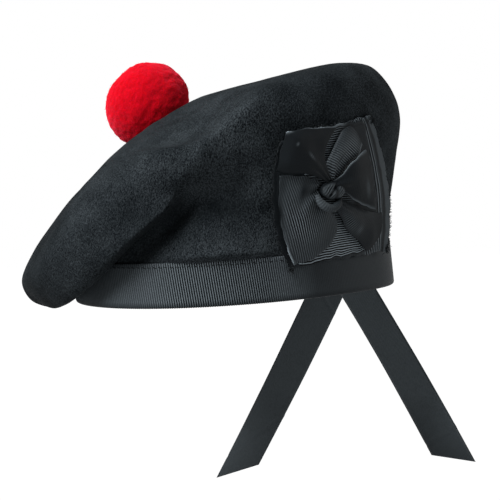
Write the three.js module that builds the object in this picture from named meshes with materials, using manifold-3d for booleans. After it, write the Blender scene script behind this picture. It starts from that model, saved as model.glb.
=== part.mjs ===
// Balmoral bonnet: a soft felt crown that stands on the wearer's left and flops to the right, a ribbon
// binding round the head opening, a ribbon cockade on the left, two ribbon ties at the back and a woollen
// ball on top.
// Millimetres, +Z up. The wearer faces -Y and their left is +X. The origin is the middle of the head opening.
import * as THREE from "three";
import Module from "manifold-3d";

// Driving dimensions
const HEAD_HALF_LENGTH = 102;
const HEAD_HALF_WIDTH = 85;
const FELT = 2.5;
const RIBBON = 1;
const GAP = 0.3;
const BAND_HEIGHT = 25;
const BAND_TURN_IN = 12;
const BAND_CORNER = 0.8;
const POMPOM_RADIUS = 26;
const POMPOM_SEAT = 21.8;
const POMPOM_LOCKS = 60;
const LOCK = { tipRadius: 3.2, rootRadius: 5.6, length: 8, sides: 5, inset: 4, unevenness: 0.4 };
const TAIL_WIDTH = 26;
const TAIL_TOP = 13;

// Where the crown's middle sits and how its cloth slopes there
const POLE = new THREE.Vector3(-53, -4, 93.5);
const POLE_SLOPE = 0.52;
const POLE_RING = 22;

// One row for each upright section round the head, at a turn in degrees from the front towards the left.
// Each control point of a section gives its distance out past the hem and its height, and dome lifts the top.
const CROWN_SECTIONS = [
  { turn: 0, tuck: [2, 34], under: [6, 21], lip: [13, 16], rim: [22, 43], crest: [6, 71], dome: 6 },
  { turn: 15, tuck: [2, 46], under: [5, 39], lip: [10, 37], rim: [16, 61], crest: [4, 81], dome: 7 },
  { turn: 30, tuck: [1, 46], under: [1, 53], lip: [2, 60], rim: [6, 72], crest: [1, 87], dome: 7 },
  { turn: 45, tuck: [1, 44], under: [1.5, 54], lip: [2, 64], rim: [4, 82], crest: [-2, 96], dome: 9 },
  { turn: 60, tuck: [1, 44], under: [2, 59], lip: [3, 74], rim: [4, 100], crest: [-5, 114], dome: 7 },
  { turn: 90, tuck: [2, 44], under: [3.5, 60], lip: [5, 76], rim: [8, 107], crest: [-6, 127], dome: 4 },
  { turn: 120, tuck: [2, 44], under: [4.5, 59], lip: [7, 74], rim: [10, 108], crest: [-6, 129.5], dome: 3 },
  { turn: 150, tuck: [2, 44], under: [4.5, 55], lip: [7, 66], rim: [11, 92], crest: [-4, 117], dome: 4 },
  { turn: 180, tuck: [2, 42], under: [5, 46], lip: [10, 49], rim: [16, 64], crest: [5, 92], dome: 5 },
  { turn: 210, tuck: [3, 34], under: [9, 24], lip: [18, 19], rim: [29, 38], crest: [15, 66], dome: 5 },
  { turn: 240, tuck: [3, 32], under: [12, 12], lip: [24, 4], rim: [39, 20], crest: [27, 47], dome: 5 },
  { turn: 270, tuck: [3, 31], under: [11, 7], lip: [24, -4], rim: [43, 11], crest: [31, 38], dome: 5 },
  { turn: 300, tuck: [3, 31], under: [8, 6], lip: [18, -5], rim: [38, 9], crest: [25.5, 34], dome: 5 },
  { turn: 330, tuck: [3, 32], under: [6.5, 8], lip: [14, -3], rim: [28, 14], crest: [15, 42], dome: 5 },
  { turn: 345, tuck: [2, 32], under: [6, 11], lip: [13, 3], rim: [25, 26], crest: [11, 56], dome: 5 },
];

// Creases pressed into the upright wall: from one place to another, with depth inwards and half width
const CROWN_CREASES = [
  { fromTurn: 20, fromUp: 58, toTurn: 52, toUp: 62, depth: 4, width: 8 },
];

// Length of wall for each degree of turn
const WALL_PER_DEGREE = 1.65;

// Steps of mesh between neighbouring control points of a section, from the hem to the middle of the crown
const CROWN_STEPS = [1, 2, 3, 3, 4, 5, 4, 3, 1];
const CROWN_AROUND = 54;

// The cockade's seat on the left wall
const SEAT_TURN = 83;
const SEAT_UP = 59;
const SEAT_STAND = 4.6;
const SEAT_LEAN = 5;
const SEAT_RADIUS_FRONT = 130;
const SEAT_RADIUS_BACK = 200;

// Ribbon pieces of the cockade. A row is one line across the ribbon, through its edges a and b and its
// middle m, each given towards the back, up and out from the seat.
const RIBBON_PIECES = {
  cockade_across: [
    { a: [-30.5, -42.5, 1], m: [-41.5, -6, 1], b: [-40, 29.5, 1] },
    { a: [-12, -39.5, 1], m: [-21, -2, 1], b: [-22, 32, 1] },
    { a: [13, -39, 1], m: [5.5, -0.5, 1], b: [1.5, 36, 1] },
    { a: [49, -39, 1.2], m: [50.5, -4, 1.2], b: [29, 40.5, 1.2] },
  ],
  cockade_upright: [
    { a: [-21, 33.5, 2.4], m: [-1.5, 36.5, 2.4], b: [21, 37, 2.5] },
    { a: [-22.5, 12.5, 2.4], m: [1.5, 11, 2.4], b: [30, 10.5, 2.6] },
    { a: [-24, -12, 2.4], m: [3, -13, 2.4], b: [35.5, -14, 2.7] },
    { a: [-25, -40.5, 2.4], m: [-1.5, -38, 2.4], b: [27.5, -36.5, 2.7] },
  ],
  bow_lower_left: [
    { a: [-14, 5, 4.5], m: [-16.5, -0.5, 6], b: [-7, -10.5, 4.6] },
    { a: [-22, 8.5, 4.8], m: [-23, -6.5, 7.5], b: [-1, -17.5, 4.6] },
    { a: [-28.5, 9.5, 5], m: [-26.5, -13.5, 7.5], b: [-4.5, -26.5, 4.6] },
    { a: [-34.5, 10, 5], m: [-32, -15.5, 6.5], b: [-14, -35, 4.4] },
    { a: [-39.5, 10, 4.8], m: [-38.5, -15, 5.5], b: [-30, -39.5, 4.2] },
  ],
  bow_upper_right: [
    { a: [-6.5, 6.5, 4.6], m: [-6, 6, 5.5], b: [-4, 5, 5] },
    { a: [-9.5, 15, 4.6], m: [-6, 15.5, 7], b: [1, 9, 5] },
    { a: [-7.5, 20, 4.6], m: [-1.5, 21.5, 7], b: [8, 15.5, 5] },
    { a: [-4, 25.5, 4.6], m: [3, 27, 6.5], b: [15, 20, 5] },
    { a: [0.5, 31.5, 4.4], m: [8, 34.5, 5], b: [17.5, 25, 4.6] },
  ],
  bow_lower_right: [
    { a: [-2.5, -4, 5], m: [-4, -6, 6], b: [-3.5, -8.5, 5] },
    { a: [7, -7.5, 5], m: [3.5, -11.5, 7], b: [2, -15.5, 4.6] },
    { a: [17, -11.5, 5.2], m: [11.5, -17.5, 7.2], b: [8, -24, 4.6] },
    { a: [29, -14.5, 5.2], m: [23, -23.5, 6.5], b: [16, -30, 4.5] },
    { a: [42.5, -16, 5], m: [38.5, -28.5, 6], b: [25, -36.5, 4.4] },
  ],
  bow_upper_left: [
    { a: [-11.5, 5, 7.5], m: [-10.5, 6.5, 8.5], b: [-8, 6, 7.8] },
    { a: [-22, 10.5, 9.5], m: [-18, 14, 10.5], b: [-13, 14.5, 8] },
    { a: [-31, 11, 10], m: [-25.5, 21.5, 11.5], b: [-13.5, 23.5, 7.8] },
    { a: [-36.5, 11.5, 9], m: [-31.5, 29, 11], b: [-10, 30, 7.4] },
    { a: [-40.5, 12.5, 7.8], m: [-36, 34.5, 9.5], b: [-6, 35.5, 7] },
  ],
  bow_right: [
    { a: [-7.5, 5.5, 8], m: [-7.5, 4, 9], b: [-6, 2, 8] },
    { a: [-2, 9.5, 9], m: [-1, 4.5, 11], b: [2, -1.5, 9] },
    { a: [3.5, 15.5, 9.5], m: [7, 6, 11.5], b: [9, -6.5, 9] },
    { a: [10, 19.5, 9], m: [14.5, 5.5, 10.5], b: [17, -9.5, 8.8] },
    { a: [17.5, 22, 7.8], m: [22.5, 4.5, 9], b: [25.5, -12, 8.4] },
  ],
};
const RIBBON_STEPS_ALONG = 8;
const RIBBON_STEPS_ACROSS = 6;

// The knot of the bow, centre and half sizes on the seat
const KNOT = { back: -8, up: -3, out: 7.6, halfBack: 9, halfUp: 8.8, halfOut: 7, floor: 3.4 };
const KNOT_CLEARANCE = 0.4;

// The two ties: the side they lean to, where they start, their lean and the lengths of their edges
const TAILS = [
  { name: "tail_left", side: 1, layer: 0, start: -8, lean: 36.6, innerLength: 147, outerLength: 168 },
  { name: "tail_right", side: -1, layer: 1, start: -1, lean: 31.8, innerLength: 161, outerLength: 195 },
];

// How the ties leave the flat of the back: out is behind the band and twist turns the ribbon about its length
const TAIL_SECTIONS = [
  { along: 0, out: 0, twist: 0 },
  { along: 0.14, out: 0.3, twist: 0 },
  { along: 0.45, out: -1.5, twist: 3 },
  { along: 0.75, out: -5, twist: -2 },
  { along: 1, out: -9, twist: -4 },
];
const TAIL_STEPS_ALONG = 14;
const TAIL_STEPS_ACROSS = 3;

const FELT_COLOUR = 0x23282b;
const RIBBON_COLOUR = 0x2b2f32;
const WOOL_COLOUR = 0xc00d1c;

const wasm = await Module();
wasm.setup();

// Smooth value between four neighbours, with the places they stand at
function smoothBetween(places, values, place) {
  const [p0, p1, p2, p3] = places;
  const [v0, v1, v2, v3] = values;
  const span = p2 - p1;
  const slope1 = ((v2 - v0) / (p2 - p0)) * span;
  const slope2 = ((v3 - v1) / (p3 - p1)) * span;
  const t = (place - p1) / span;
  const t2 = t * t;
  const t3 = t2 * t;
  const ends = (2 * t3 - 3 * t2 + 1) * v1 + (3 * t2 - 2 * t3) * v2;
  return ends + (t3 - 2 * t2 + t) * slope1 + (t3 - t2) * slope2;
}

// A row of the crown table at any turn
function crownRow(turn) {
  const rows = CROWN_SECTIONS;
  const count = rows.length;
  let i = count - 1;
  while (i > 0 && rows[i].turn > turn) i -= 1;
  const near = [i - 1, i, i + 1, i + 2].map((k) => {
    const lap = Math.floor(k / count);
    return { row: rows[k - lap * count], place: rows[k - lap * count].turn + 360 * lap };
  });
  const places = near.map((n) => n.place);
  const between = (read) => smoothBetween(places, near.map((n) => read(n.row)), turn);
  const row = { dome: between((r) => r.dome) };
  for (const key of ["tuck", "under", "lip", "rim", "crest"]) {
    row[key] = [0, 1].map((side) => between((r) => r[key][side]));
  }
  return row;
}

// Point of the hem oval, and the way straight out from it
function ovalPoint(turn, out, up) {
  const t = THREE.MathUtils.degToRad(turn);
  const outward = new THREE.Vector2(HEAD_HALF_LENGTH * Math.sin(t), -HEAD_HALF_WIDTH * Math.cos(t));
  outward.normalize();
  return new THREE.Vector3(
    HEAD_HALF_WIDTH * Math.sin(t) + out * outward.x,
    -HEAD_HALF_LENGTH * Math.cos(t) + out * outward.y,
    up,
  );
}

// Depth of the creases at a place on the wall
function creaseDepth(turn, up) {
  let depth = 0;
  for (const crease of CROWN_CREASES) {
    const x = (turn > 180 ? turn - 360 : turn) * WALL_PER_DEGREE;
    const ax = crease.fromTurn * WALL_PER_DEGREE;
    const bx = crease.toTurn * WALL_PER_DEGREE;
    const dx = bx - ax;
    const dy = crease.toUp - crease.fromUp;
    const share = ((x - ax) * dx + (up - crease.fromUp) * dy) / (dx * dx + dy * dy);
    const held = THREE.MathUtils.clamp(share, 0, 1);
    const far = Math.hypot(x - ax - held * dx, up - crease.fromUp - held * dy) / crease.width;
    depth += crease.depth * Math.exp(-far * far);
  }
  return depth;
}

// One upright section of the crown's outside, from the hem to the middle of the crown
function crownSection(turn) {
  const row = crownRow(turn);
  const hem = ovalPoint(turn, 0, RIBBON + GAP);
  const bandTop = ovalPoint(turn, 0, BAND_HEIGHT + 1);
  const tuck = ovalPoint(turn, ...row.tuck);
  const under = ovalPoint(turn, ...row.under);
  const lip = ovalPoint(turn, ...row.lip);
  const rim = ovalPoint(turn, ...row.rim);
  const crest = ovalPoint(turn, ...row.crest);
  const away = crest.clone().sub(POLE).setZ(0).normalize();
  const ring = POLE.clone().addScaledVector(away, POLE_RING);
  ring.z += POLE_SLOPE * POLE_RING * away.x;
  const mid = crest.clone().add(ring).multiplyScalar(0.5);
  mid.z += row.dome;
  const controls = [hem, bandTop, tuck, under, lip, rim, crest, mid, ring, POLE.clone()];
  const curve = new THREE.CatmullRomCurve3(controls, false, "centripetal");
  const points = [];
  CROWN_STEPS.forEach((steps, segment) => {
    for (let k = 0; k < steps; k += 1) {
      const place = (segment + k / steps) / CROWN_STEPS.length;
      const point = segment === 0 ? hem.clone().lerp(bandTop, k / steps) : curve.getPoint(place);
      if (segment > 0 && segment < 6) {
        const flat = ovalPoint(turn, 1, 0).sub(ovalPoint(turn, 0, 0));
        point.addScaledVector(flat, -creaseDepth(turn, point.z));
      }
      points.push(point);
    }
  });
  return points;
}

// Solid from corner points and triangles, turned so that it faces outwards
function solid(points, faces) {
  let volume = 0;
  const cross = new THREE.Vector3();
  for (const [a, b, c] of faces) {
    volume += points[a].dot(cross.crossVectors(points[b], points[c]));
  }
  const index = faces.flatMap(([a, b, c]) => (volume < 0 ? [a, c, b] : [a, b, c]));
  const geometry = new THREE.BufferGeometry();
  geometry.setAttribute("position", new THREE.Float32BufferAttribute(points.flatMap((p) => p.toArray()), 3));
  geometry.setIndex(index);
  geometry.computeVertexNormals();
  return geometry;
}

// Hollow felt shell: the outside, the same surface set in by the felt, and the hem between them
function crownGeometry() {
  const rings = CROWN_STEPS.reduce((sum, steps) => sum + steps, 0);
  const outside = [];
  for (let i = 0; i < CROWN_AROUND; i += 1) {
    outside.push(...crownSection((360 * i) / CROWN_AROUND));
  }
  outside.push(POLE.clone());
  const top = outside.length - 1;
  const faces = [];
  for (let i = 0; i < CROWN_AROUND; i += 1) {
    const here = i * rings;
    const next = ((i + 1) % CROWN_AROUND) * rings;
    for (let j = 0; j < rings - 1; j += 1) {
      faces.push([here + j, next + j, next + j + 1], [here + j, next + j + 1, here + j + 1]);
    }
    faces.push([here + rings - 1, next + rings - 1, top]);
  }
  const normals = solid(outside, faces).getAttribute("normal");
  const inside = outside.map((point, k) => {
    const normal = new THREE.Vector3().fromBufferAttribute(normals, k);
    if (k % rings === 0 && k < top) normal.setZ(0).normalize();
    return point.clone().addScaledVector(normal, -FELT);
  });
  const count = outside.length;
  const inner = faces.map(([a, b, c]) => [a + count, c + count, b + count]);
  const hem = [];
  for (let i = 0; i < CROWN_AROUND; i += 1) {
    const a = i * rings;
    const b = ((i + 1) % CROWN_AROUND) * rings;
    hem.push([a, a + count, b + count], [a, b + count, b]);
  }
  return solid([...outside, ...inside], [...faces, ...inner, ...hem]);
}

// Binding folded round the hem: one outline, out from the felt and up, carried round the oval
function bandGeometry() {
  const face = GAP + RIBBON;
  const back = -FELT - GAP;
  const outline = [
    [face, BAND_HEIGHT],
    [face, BAND_CORNER],
    [face - BAND_CORNER, 0],
    [back - RIBBON + BAND_CORNER, 0],
    [back - RIBBON, BAND_CORNER],
    [back - RIBBON, BAND_TURN_IN],
    [back, BAND_TURN_IN],
    [back, RIBBON],
    [GAP, RIBBON],
    [GAP, BAND_HEIGHT],
  ];
  const points = [];
  const faces = [];
  const count = outline.length;
  for (let i = 0; i < CROWN_AROUND; i += 1) {
    const turn = (360 * i) / CROWN_AROUND;
    points.push(...outline.map(([out, up]) => ovalPoint(turn, out, up)));
    const here = i * count;
    const next = ((i + 1) % CROWN_AROUND) * count;
    for (let j = 0; j < count; j += 1) {
      const k = (j + 1) % count;
      faces.push([here + j, next + j, next + k], [here + j, next + k, here + k]);
    }
  }
  return solid(points, faces);
}

// Sheet of even thickness about a grid of points, with its edges closed
function sheetGeometry(grid, thickness) {
  const rows = grid.length;
  const columns = grid[0].length;
  const points = [];
  for (const side of [0.5, -0.5]) {
    for (let i = 0; i < rows; i += 1) {
      for (let j = 0; j < columns; j += 1) {
        const along = grid[Math.min(i + 1, rows - 1)][j].clone().sub(grid[Math.max(i - 1, 0)][j]);
        const across = grid[i][Math.min(j + 1, columns - 1)].clone().sub(grid[i][Math.max(j - 1, 0)]);
        const normal = along.cross(across).normalize();
        points.push(grid[i][j].clone().addScaledVector(normal, side * thickness));
      }
    }
  }
  const count = rows * columns;
  const faces = [];
  const quad = (a, b, c, d) => faces.push([a, b, c], [a, c, d]);
  const at = (i, j) => i * columns + j;
  for (let i = 0; i < rows - 1; i += 1) {
    for (let j = 0; j < columns - 1; j += 1) {
      quad(at(i, j), at(i + 1, j), at(i + 1, j + 1), at(i, j + 1));
      quad(at(i, j) + count, at(i, j + 1) + count, at(i + 1, j + 1) + count, at(i + 1, j) + count);
    }
  }
  for (let i = 0; i < rows - 1; i += 1) {
    quad(at(i, 0), at(i, 0) + count, at(i + 1, 0) + count, at(i + 1, 0));
    const j = columns - 1;
    quad(at(i + 1, j), at(i + 1, j) + count, at(i, j) + count, at(i, j));
  }
  for (let j = 0; j < columns - 1; j += 1) {
    quad(at(0, j + 1), at(0, j + 1) + count, at(0, j) + count, at(0, j));
    const i = rows - 1;
    quad(at(i, j), at(i, j) + count, at(i, j + 1) + count, at(i, j + 1));
  }
  return solid(points, faces);
}

// Place on the cockade's seat, a slightly bent panel that leans with the wall
function seatPoint(back, up, out) {
  const outward = ovalPoint(SEAT_TURN, 1, 0).sub(ovalPoint(SEAT_TURN, 0, 0));
  const toBack = new THREE.Vector3(-outward.y, outward.x, 0);
  const lean = THREE.MathUtils.degToRad(SEAT_LEAN);
  const rise = new THREE.Vector3(0, 0, Math.cos(lean)).addScaledVector(outward, Math.sin(lean));
  const facing = outward.clone().multiplyScalar(Math.cos(lean));
  facing.z -= Math.sin(lean);
  const radius = back < 0 ? SEAT_RADIUS_FRONT : SEAT_RADIUS_BACK;
  const angle = back / radius;
  return ovalPoint(SEAT_TURN, SEAT_STAND, SEAT_UP)
    .addScaledVector(toBack, (radius + out) * Math.sin(angle))
    .addScaledVector(facing, (radius + out) * Math.cos(angle) - radius)
    .addScaledVector(rise, up);
}

// Ribbon laid through its rows: smooth along its length, a smooth bow across each row
function ribbonGeometry(rows) {
  const curves = ["a", "m", "b"].map((key) => {
    const points = rows.map((row) => new THREE.Vector3(...row[key]));
    return new THREE.CatmullRomCurve3(points, false, "centripetal");
  });
  const grid = [];
  for (let i = 0; i <= RIBBON_STEPS_ALONG; i += 1) {
    const [a, m, b] = curves.map((curve) => curve.getPoint(i / RIBBON_STEPS_ALONG));
    const line = [];
    for (let j = 0; j <= RIBBON_STEPS_ACROSS; j += 1) {
      const v = (2 * j) / RIBBON_STEPS_ACROSS - 1;
      const place = new THREE.Vector3()
        .addScaledVector(a, (v * v - v) / 2)
        .addScaledVector(m, 1 - v * v)
        .addScaledVector(b, (v * v + v) / 2);
      line.push(seatPoint(place.x, place.y, place.z));
    }
    grid.push(line);
  }
  return sheetGeometry(grid, RIBBON);
}

// Rounded knot standing on the seat, larger all round by the spare amount
function knotGeometry(spare) {
  const geometry = new THREE.SphereGeometry(1, 14, 8);
  const position = geometry.getAttribute("position");
  const floor = KNOT.floor - spare;
  for (let k = 0; k < position.count; k += 1) {
    const out = Math.max(KNOT.out + (KNOT.halfOut + spare) * position.getZ(k), floor);
    const back = KNOT.back + (KNOT.halfBack + spare) * position.getX(k);
    const up = KNOT.up + (KNOT.halfUp + spare) * position.getY(k);
    const point = seatPoint(back, up, out);
    position.setXYZ(k, point.x, point.y, point.z);
  }
  return weld(geometry);
}

// The same surface with its doubled corners joined
function weld(geometry) {
  const position = geometry.getAttribute("position");
  const index = geometry.getIndex();
  const seen = new Map();
  const points = [];
  const corner = [];
  for (let k = 0; k < position.count; k += 1) {
    const point = new THREE.Vector3().fromBufferAttribute(position, k);
    const key = point.toArray().map((v) => Math.round(v * 1000)).join(" ");
    if (!seen.has(key)) {
      seen.set(key, points.length);
      points.push(point);
    }
    corner.push(seen.get(key));
  }
  const faces = [];
  const total = index ? index.count : position.count;
  for (let k = 0; k < total; k += 3) {
    const face = [0, 1, 2].map((n) => corner[index ? index.getX(k + n) : k + n]);
    if (new Set(face).size === 3) faces.push(face);
  }
  return solid(points, faces);
}

function toManifold(geometry) {
  const mesh = new wasm.Mesh({
    numProp: 3,
    vertProperties: new Float32Array(geometry.getAttribute("position").array),
    triVerts: new Uint32Array(geometry.getIndex().array),
  });
  mesh.merge();
  return new wasm.Manifold(mesh);
}

function fromManifold(body) {
  const mesh = body.getMesh();
  const geometry = new THREE.BufferGeometry();
  geometry.setAttribute("position", new THREE.Float32BufferAttribute(mesh.vertProperties, 3));
  geometry.setIndex(new THREE.Uint32BufferAttribute(mesh.triVerts, 1));
  return weld(geometry);
}

// Ribbon tie: a straight ribbon in the plane behind the back of the band, leaning to one side
function tailGeometry({ side, layer, start, lean: leanDegrees, innerLength, outerLength }) {
  const lean = THREE.MathUtils.degToRad(leanDegrees);
  const down = new THREE.Vector3(side * Math.sin(lean), 0, -Math.cos(lean));
  const inner = new THREE.Vector3(-side * Math.cos(lean), 0, -Math.sin(lean));
  const behind = HEAD_HALF_LENGTH + (GAP + RIBBON) * (layer + 1) + GAP * (layer + 1) + RIBBON / 2;
  const places = TAIL_SECTIONS.map((row) => row.along);
  const column = (key) => TAIL_SECTIONS.map((row) => row[key]);
  const grid = [];
  for (let i = 0; i <= TAIL_STEPS_ALONG; i += 1) {
    const share = i / TAIL_STEPS_ALONG;
    const out = tableValue(places, column("out"), share);
    const twist = THREE.MathUtils.degToRad(tableValue(places, column("twist"), share));
    const line = [];
    for (let j = 0; j <= TAIL_STEPS_ACROSS; j += 1) {
      const v = (2 * j) / TAIL_STEPS_ACROSS - 1;
      const reach = THREE.MathUtils.lerp(outerLength, innerLength, (v + 1) / 2) * share;
      const half = (v * TAIL_WIDTH) / 2;
      const point = new THREE.Vector3(start, behind + out + half * Math.sin(twist), TAIL_TOP);
      line.push(point.addScaledVector(down, reach).addScaledVector(inner, half * Math.cos(twist)));
    }
    grid.push(line);
  }
  return sheetGeometry(grid, RIBBON);
}

// Smooth value from a short table with even ends
function tableValue(places, values, place) {
  let i = 0;
  while (i < places.length - 2 && places[i + 1] < place) i += 1;
  const ends = [i - 1, i, i + 1, i + 2];
  const held = ends.map((k) => THREE.MathUtils.clamp(k, 0, places.length - 1));
  const at = ends.map((k, n) => places[held[n]] + (k - held[n]) * 0.2);
  return smoothBetween(at, held.map((k) => values[k]), place);
}

// Woollen ball of locks on a round head, flat where it is sewn to the felt
function pompomGeometry() {
  const normal = new THREE.Vector3(-POLE_SLOPE, 0, 1).normalize();
  const centre = POLE.clone().addScaledVector(normal, POMPOM_SEAT + GAP);
  const head = weld(new THREE.IcosahedronGeometry(POMPOM_RADIUS - LOCK.length / 3, 1));
  let ball = toManifold(head);
  const golden = Math.PI * (3 - Math.sqrt(5));
  for (let k = 0; k < POMPOM_LOCKS; k += 1) {
    const y = 1 - (2 * (k + 0.5)) / POMPOM_LOCKS;
    const ring = Math.sqrt(1 - y * y);
    const way = new THREE.Vector3(ring * Math.cos(golden * k), y, ring * Math.sin(golden * k));
    const lock = new THREE.CylinderGeometry(LOCK.tipRadius, LOCK.rootRadius, LOCK.length, LOCK.sides, 1);
    lock.applyQuaternion(new THREE.Quaternion().setFromUnitVectors(new THREE.Vector3(0, 1, 0), way));
    const reach = POMPOM_RADIUS - LOCK.inset - LOCK.unevenness * (k % 3);
    lock.translate(way.x * reach, way.y * reach, way.z * reach);
    ball = ball.add(toManifold(weld(lock)));
  }
  const below = new THREE.BoxGeometry(4 * POMPOM_RADIUS, 4 * POMPOM_RADIUS, 2 * POMPOM_RADIUS);
  below.translate(0, 0, -POMPOM_RADIUS - POMPOM_SEAT);
  below.applyQuaternion(new THREE.Quaternion().setFromUnitVectors(new THREE.Vector3(0, 0, 1), normal));
  const geometry = fromManifold(ball.subtract(toManifold(weld(below))));
  geometry.translate(centre.x, centre.y, centre.z);
  return geometry;
}

const group = new THREE.Group();

function addPiece(name, geometry, color, roughness) {
  const mesh = new THREE.Mesh(geometry, new THREE.MeshStandardMaterial({ color, roughness, metalness: 0 }));
  mesh.name = name;
  group.add(mesh);
}

addPiece("crown", crownGeometry(), FELT_COLOUR, 0.95);
addPiece("band", bandGeometry(), RIBBON_COLOUR, 0.8);
const knotRoom = toManifold(knotGeometry(KNOT_CLEARANCE));
for (const [name, rows] of Object.entries(RIBBON_PIECES)) {
  const ribbon = ribbonGeometry(rows);
  const cut = name.startsWith("bow") ? fromManifold(toManifold(ribbon).subtract(knotRoom)) : ribbon;
  addPiece(name, cut, RIBBON_COLOUR, 0.8);
}
addPiece("bow_knot", knotGeometry(0), RIBBON_COLOUR, 0.8);
for (const tail of TAILS) {
  addPiece(tail.name, tailGeometry(tail), RIBBON_COLOUR, 0.8);
}
addPiece("pompom", pompomGeometry(), WOOL_COLOUR, 0.95);

export default group;
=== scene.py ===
"""Dresses the balmoral bonnet: felt crown, ribbon band, cockade, bow, ties and woollen ball."""

import math

import bmesh
import bpy
import numpy as np
from mathutils import Matrix, Vector, noise


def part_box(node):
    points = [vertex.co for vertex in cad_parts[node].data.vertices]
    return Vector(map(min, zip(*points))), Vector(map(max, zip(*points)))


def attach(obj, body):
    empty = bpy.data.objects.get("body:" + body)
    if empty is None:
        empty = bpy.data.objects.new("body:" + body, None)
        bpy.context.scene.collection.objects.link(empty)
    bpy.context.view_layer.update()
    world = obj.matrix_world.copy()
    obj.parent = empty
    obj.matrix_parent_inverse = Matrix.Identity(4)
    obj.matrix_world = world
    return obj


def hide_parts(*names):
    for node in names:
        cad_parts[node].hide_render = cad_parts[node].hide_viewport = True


bl_info = {
    "name": "Balmoral Bonnet",
    "version": (1, 0, 0),
    "blender": (4, 5, 0),
    "location": "View3D > Sidebar > Bonnet",
    "description": "Makes the felt, ribbon and wool of a balmoral bonnet around its frame",
    "category": "Add Mesh",
}

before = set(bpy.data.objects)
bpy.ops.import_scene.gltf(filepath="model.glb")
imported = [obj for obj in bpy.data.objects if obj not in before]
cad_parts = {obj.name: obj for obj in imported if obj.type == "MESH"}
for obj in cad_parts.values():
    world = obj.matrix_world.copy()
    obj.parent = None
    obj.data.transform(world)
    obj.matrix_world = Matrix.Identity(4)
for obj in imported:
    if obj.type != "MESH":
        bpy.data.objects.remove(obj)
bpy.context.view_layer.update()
MM = 0.001

# Sizes that the ribbon pieces share with the frame, in millimetres and degrees
HALF_LENGTH = 102
HALF_WIDTH = 85
BACKING_THICK = 0.8
TIE_THICK = 0.6
SEAT = {"turn": 83, "up": 59, "stand": 4.6, "lean": 5, "radius_front": 130, "radius_back": 200}
KNOT = {"back": -7.8, "up": 0.8, "out": 7.4, "half_back": 8, "half_up": 4.9, "half_out": 3.8, "floor": 3.4}
TIE = {"width": 26, "top": 13, "behind": 104.1, "layer": 1.6}

# Folds of the felt: the way that each pushes it, how far they reach, how rounded their line is, the side
# on which they end sooner with their reach there, and points along them with the height there
CROWN_FOLDS = {
    "rim": {
        "push": (0.67, -0.74, 0.08),
        "width": 24,
        "round": 4,
        "steep": (0.64, 0.52, -0.57),
        "beyond": 20,
        "points": [
            (70, -30, 121, 0),
            (69, -44, 116, 4),
            (66, -56, 109, 6),
            (60, -64, 102, 6),
            (56, -77, 92, 6),
            (53, -85, 80, 6),
            (47, -89, 69, 3.5),
            (40, -90, 59, 1.5),
            (36, -95, 53, 0),
        ],
    },
    "lobe_edge": {
        "push": (0.71, -0.65, -0.04),
        "width": 20,
        "round": 1,
        "steep": (0.5, 0.37, -0.78),
        "beyond": 4,
        "points": [
            (50, -87, 74, 0),
            (45, -89, 66, 1.5),
            (38, -91, 58, 8),
            (33, -102, 48, 7),
            (25, -110, 39, 5.5),
            (13, -115, 28, 3),
            (-1, -117, 18, 0),
        ],
    },
    "under_lobe": {
        "push": (0.35, -0.93, 0),
        "width": 12,
        "round": 2,
        "steep": (-0.5, -0.37, 0.78),
        "beyond": 5,
        "points": [(43, -86, 54, -5), (35, -92, 45, -5), (22, -98, 35, -4), (10, -101, 27, 0)],
    },
    "second_ridge": {
        "push": (0.2, -0.62, 0.75),
        "width": 14,
        "round": 2,
        "points": [(52, -84, 87, 1), (44, -91, 84, 3.5), (31, -97, 84, 3.5), (12, -98, 84, 0)],
    },
    "hollow_by_ball": {
        "push": (0, -0.4, 0.9),
        "width": 22,
        "round": 6,
        "points": [(46, -76, 95, -3), (34, -80, 94, -4), (14, -78, 94, 0)],
    },
    "crease": {
        "push": (0.68, -0.72, 0),
        "width": 14,
        "round": 3,
        "points": [(44, -86, 51, -5), (52, -79, 50, -4.5), (64, -67, 50, -3), (80, -40, 51, -1)],
    },
    "left_tip": {
        "push": (-0.66, -0.6, -0.45),
        "width": 16,
        "round": 3,
        "points": [
            (-72, -80, 48, 0),
            (-78, -83, 36, 1.7),
            (-86, -90, 20, 0.6),
            (-82, -86, 0, 2.6),
            (-74, -80, -5, 0),
        ],
    },
    "left_slope": {
        "push": (0.5, 0.45, -0.74),
        "width": 45,
        "round": 6,
        "points": [
            (-75, -52, 66, 0),
            (-55, -50, 80, 3),
            (-39, -53, 88, 3),
            (-25, -51, 97, 1.5),
            (-17, -47, 101, 0),
        ],
    },
    "rise_by_ball": {
        "push": (-0.3, -0.3, 0.9),
        "width": 28,
        "round": 6,
        "points": [
            (-18, -47, 101, 0),
            (-8, -39, 105, 2),
            (0, -30, 109, 2.2),
            (12, -16, 114, 1.5),
            (28, 0, 119, 0.7),
            (45, 12, 124, 0),
        ],
    },
    "wall_low": {
        "push": (0.7, -0.7, 0.1),
        "width": 20,
        "round": 1,
        "points": [
            (26, -97, 26, 0),
            (38, -92, 26, 3),
            (50, -82, 26, 5),
            (62, -71, 26, 5),
            (72, -55, 26, 3),
            (79, -42, 26, 0),
        ],
    },
}

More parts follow.
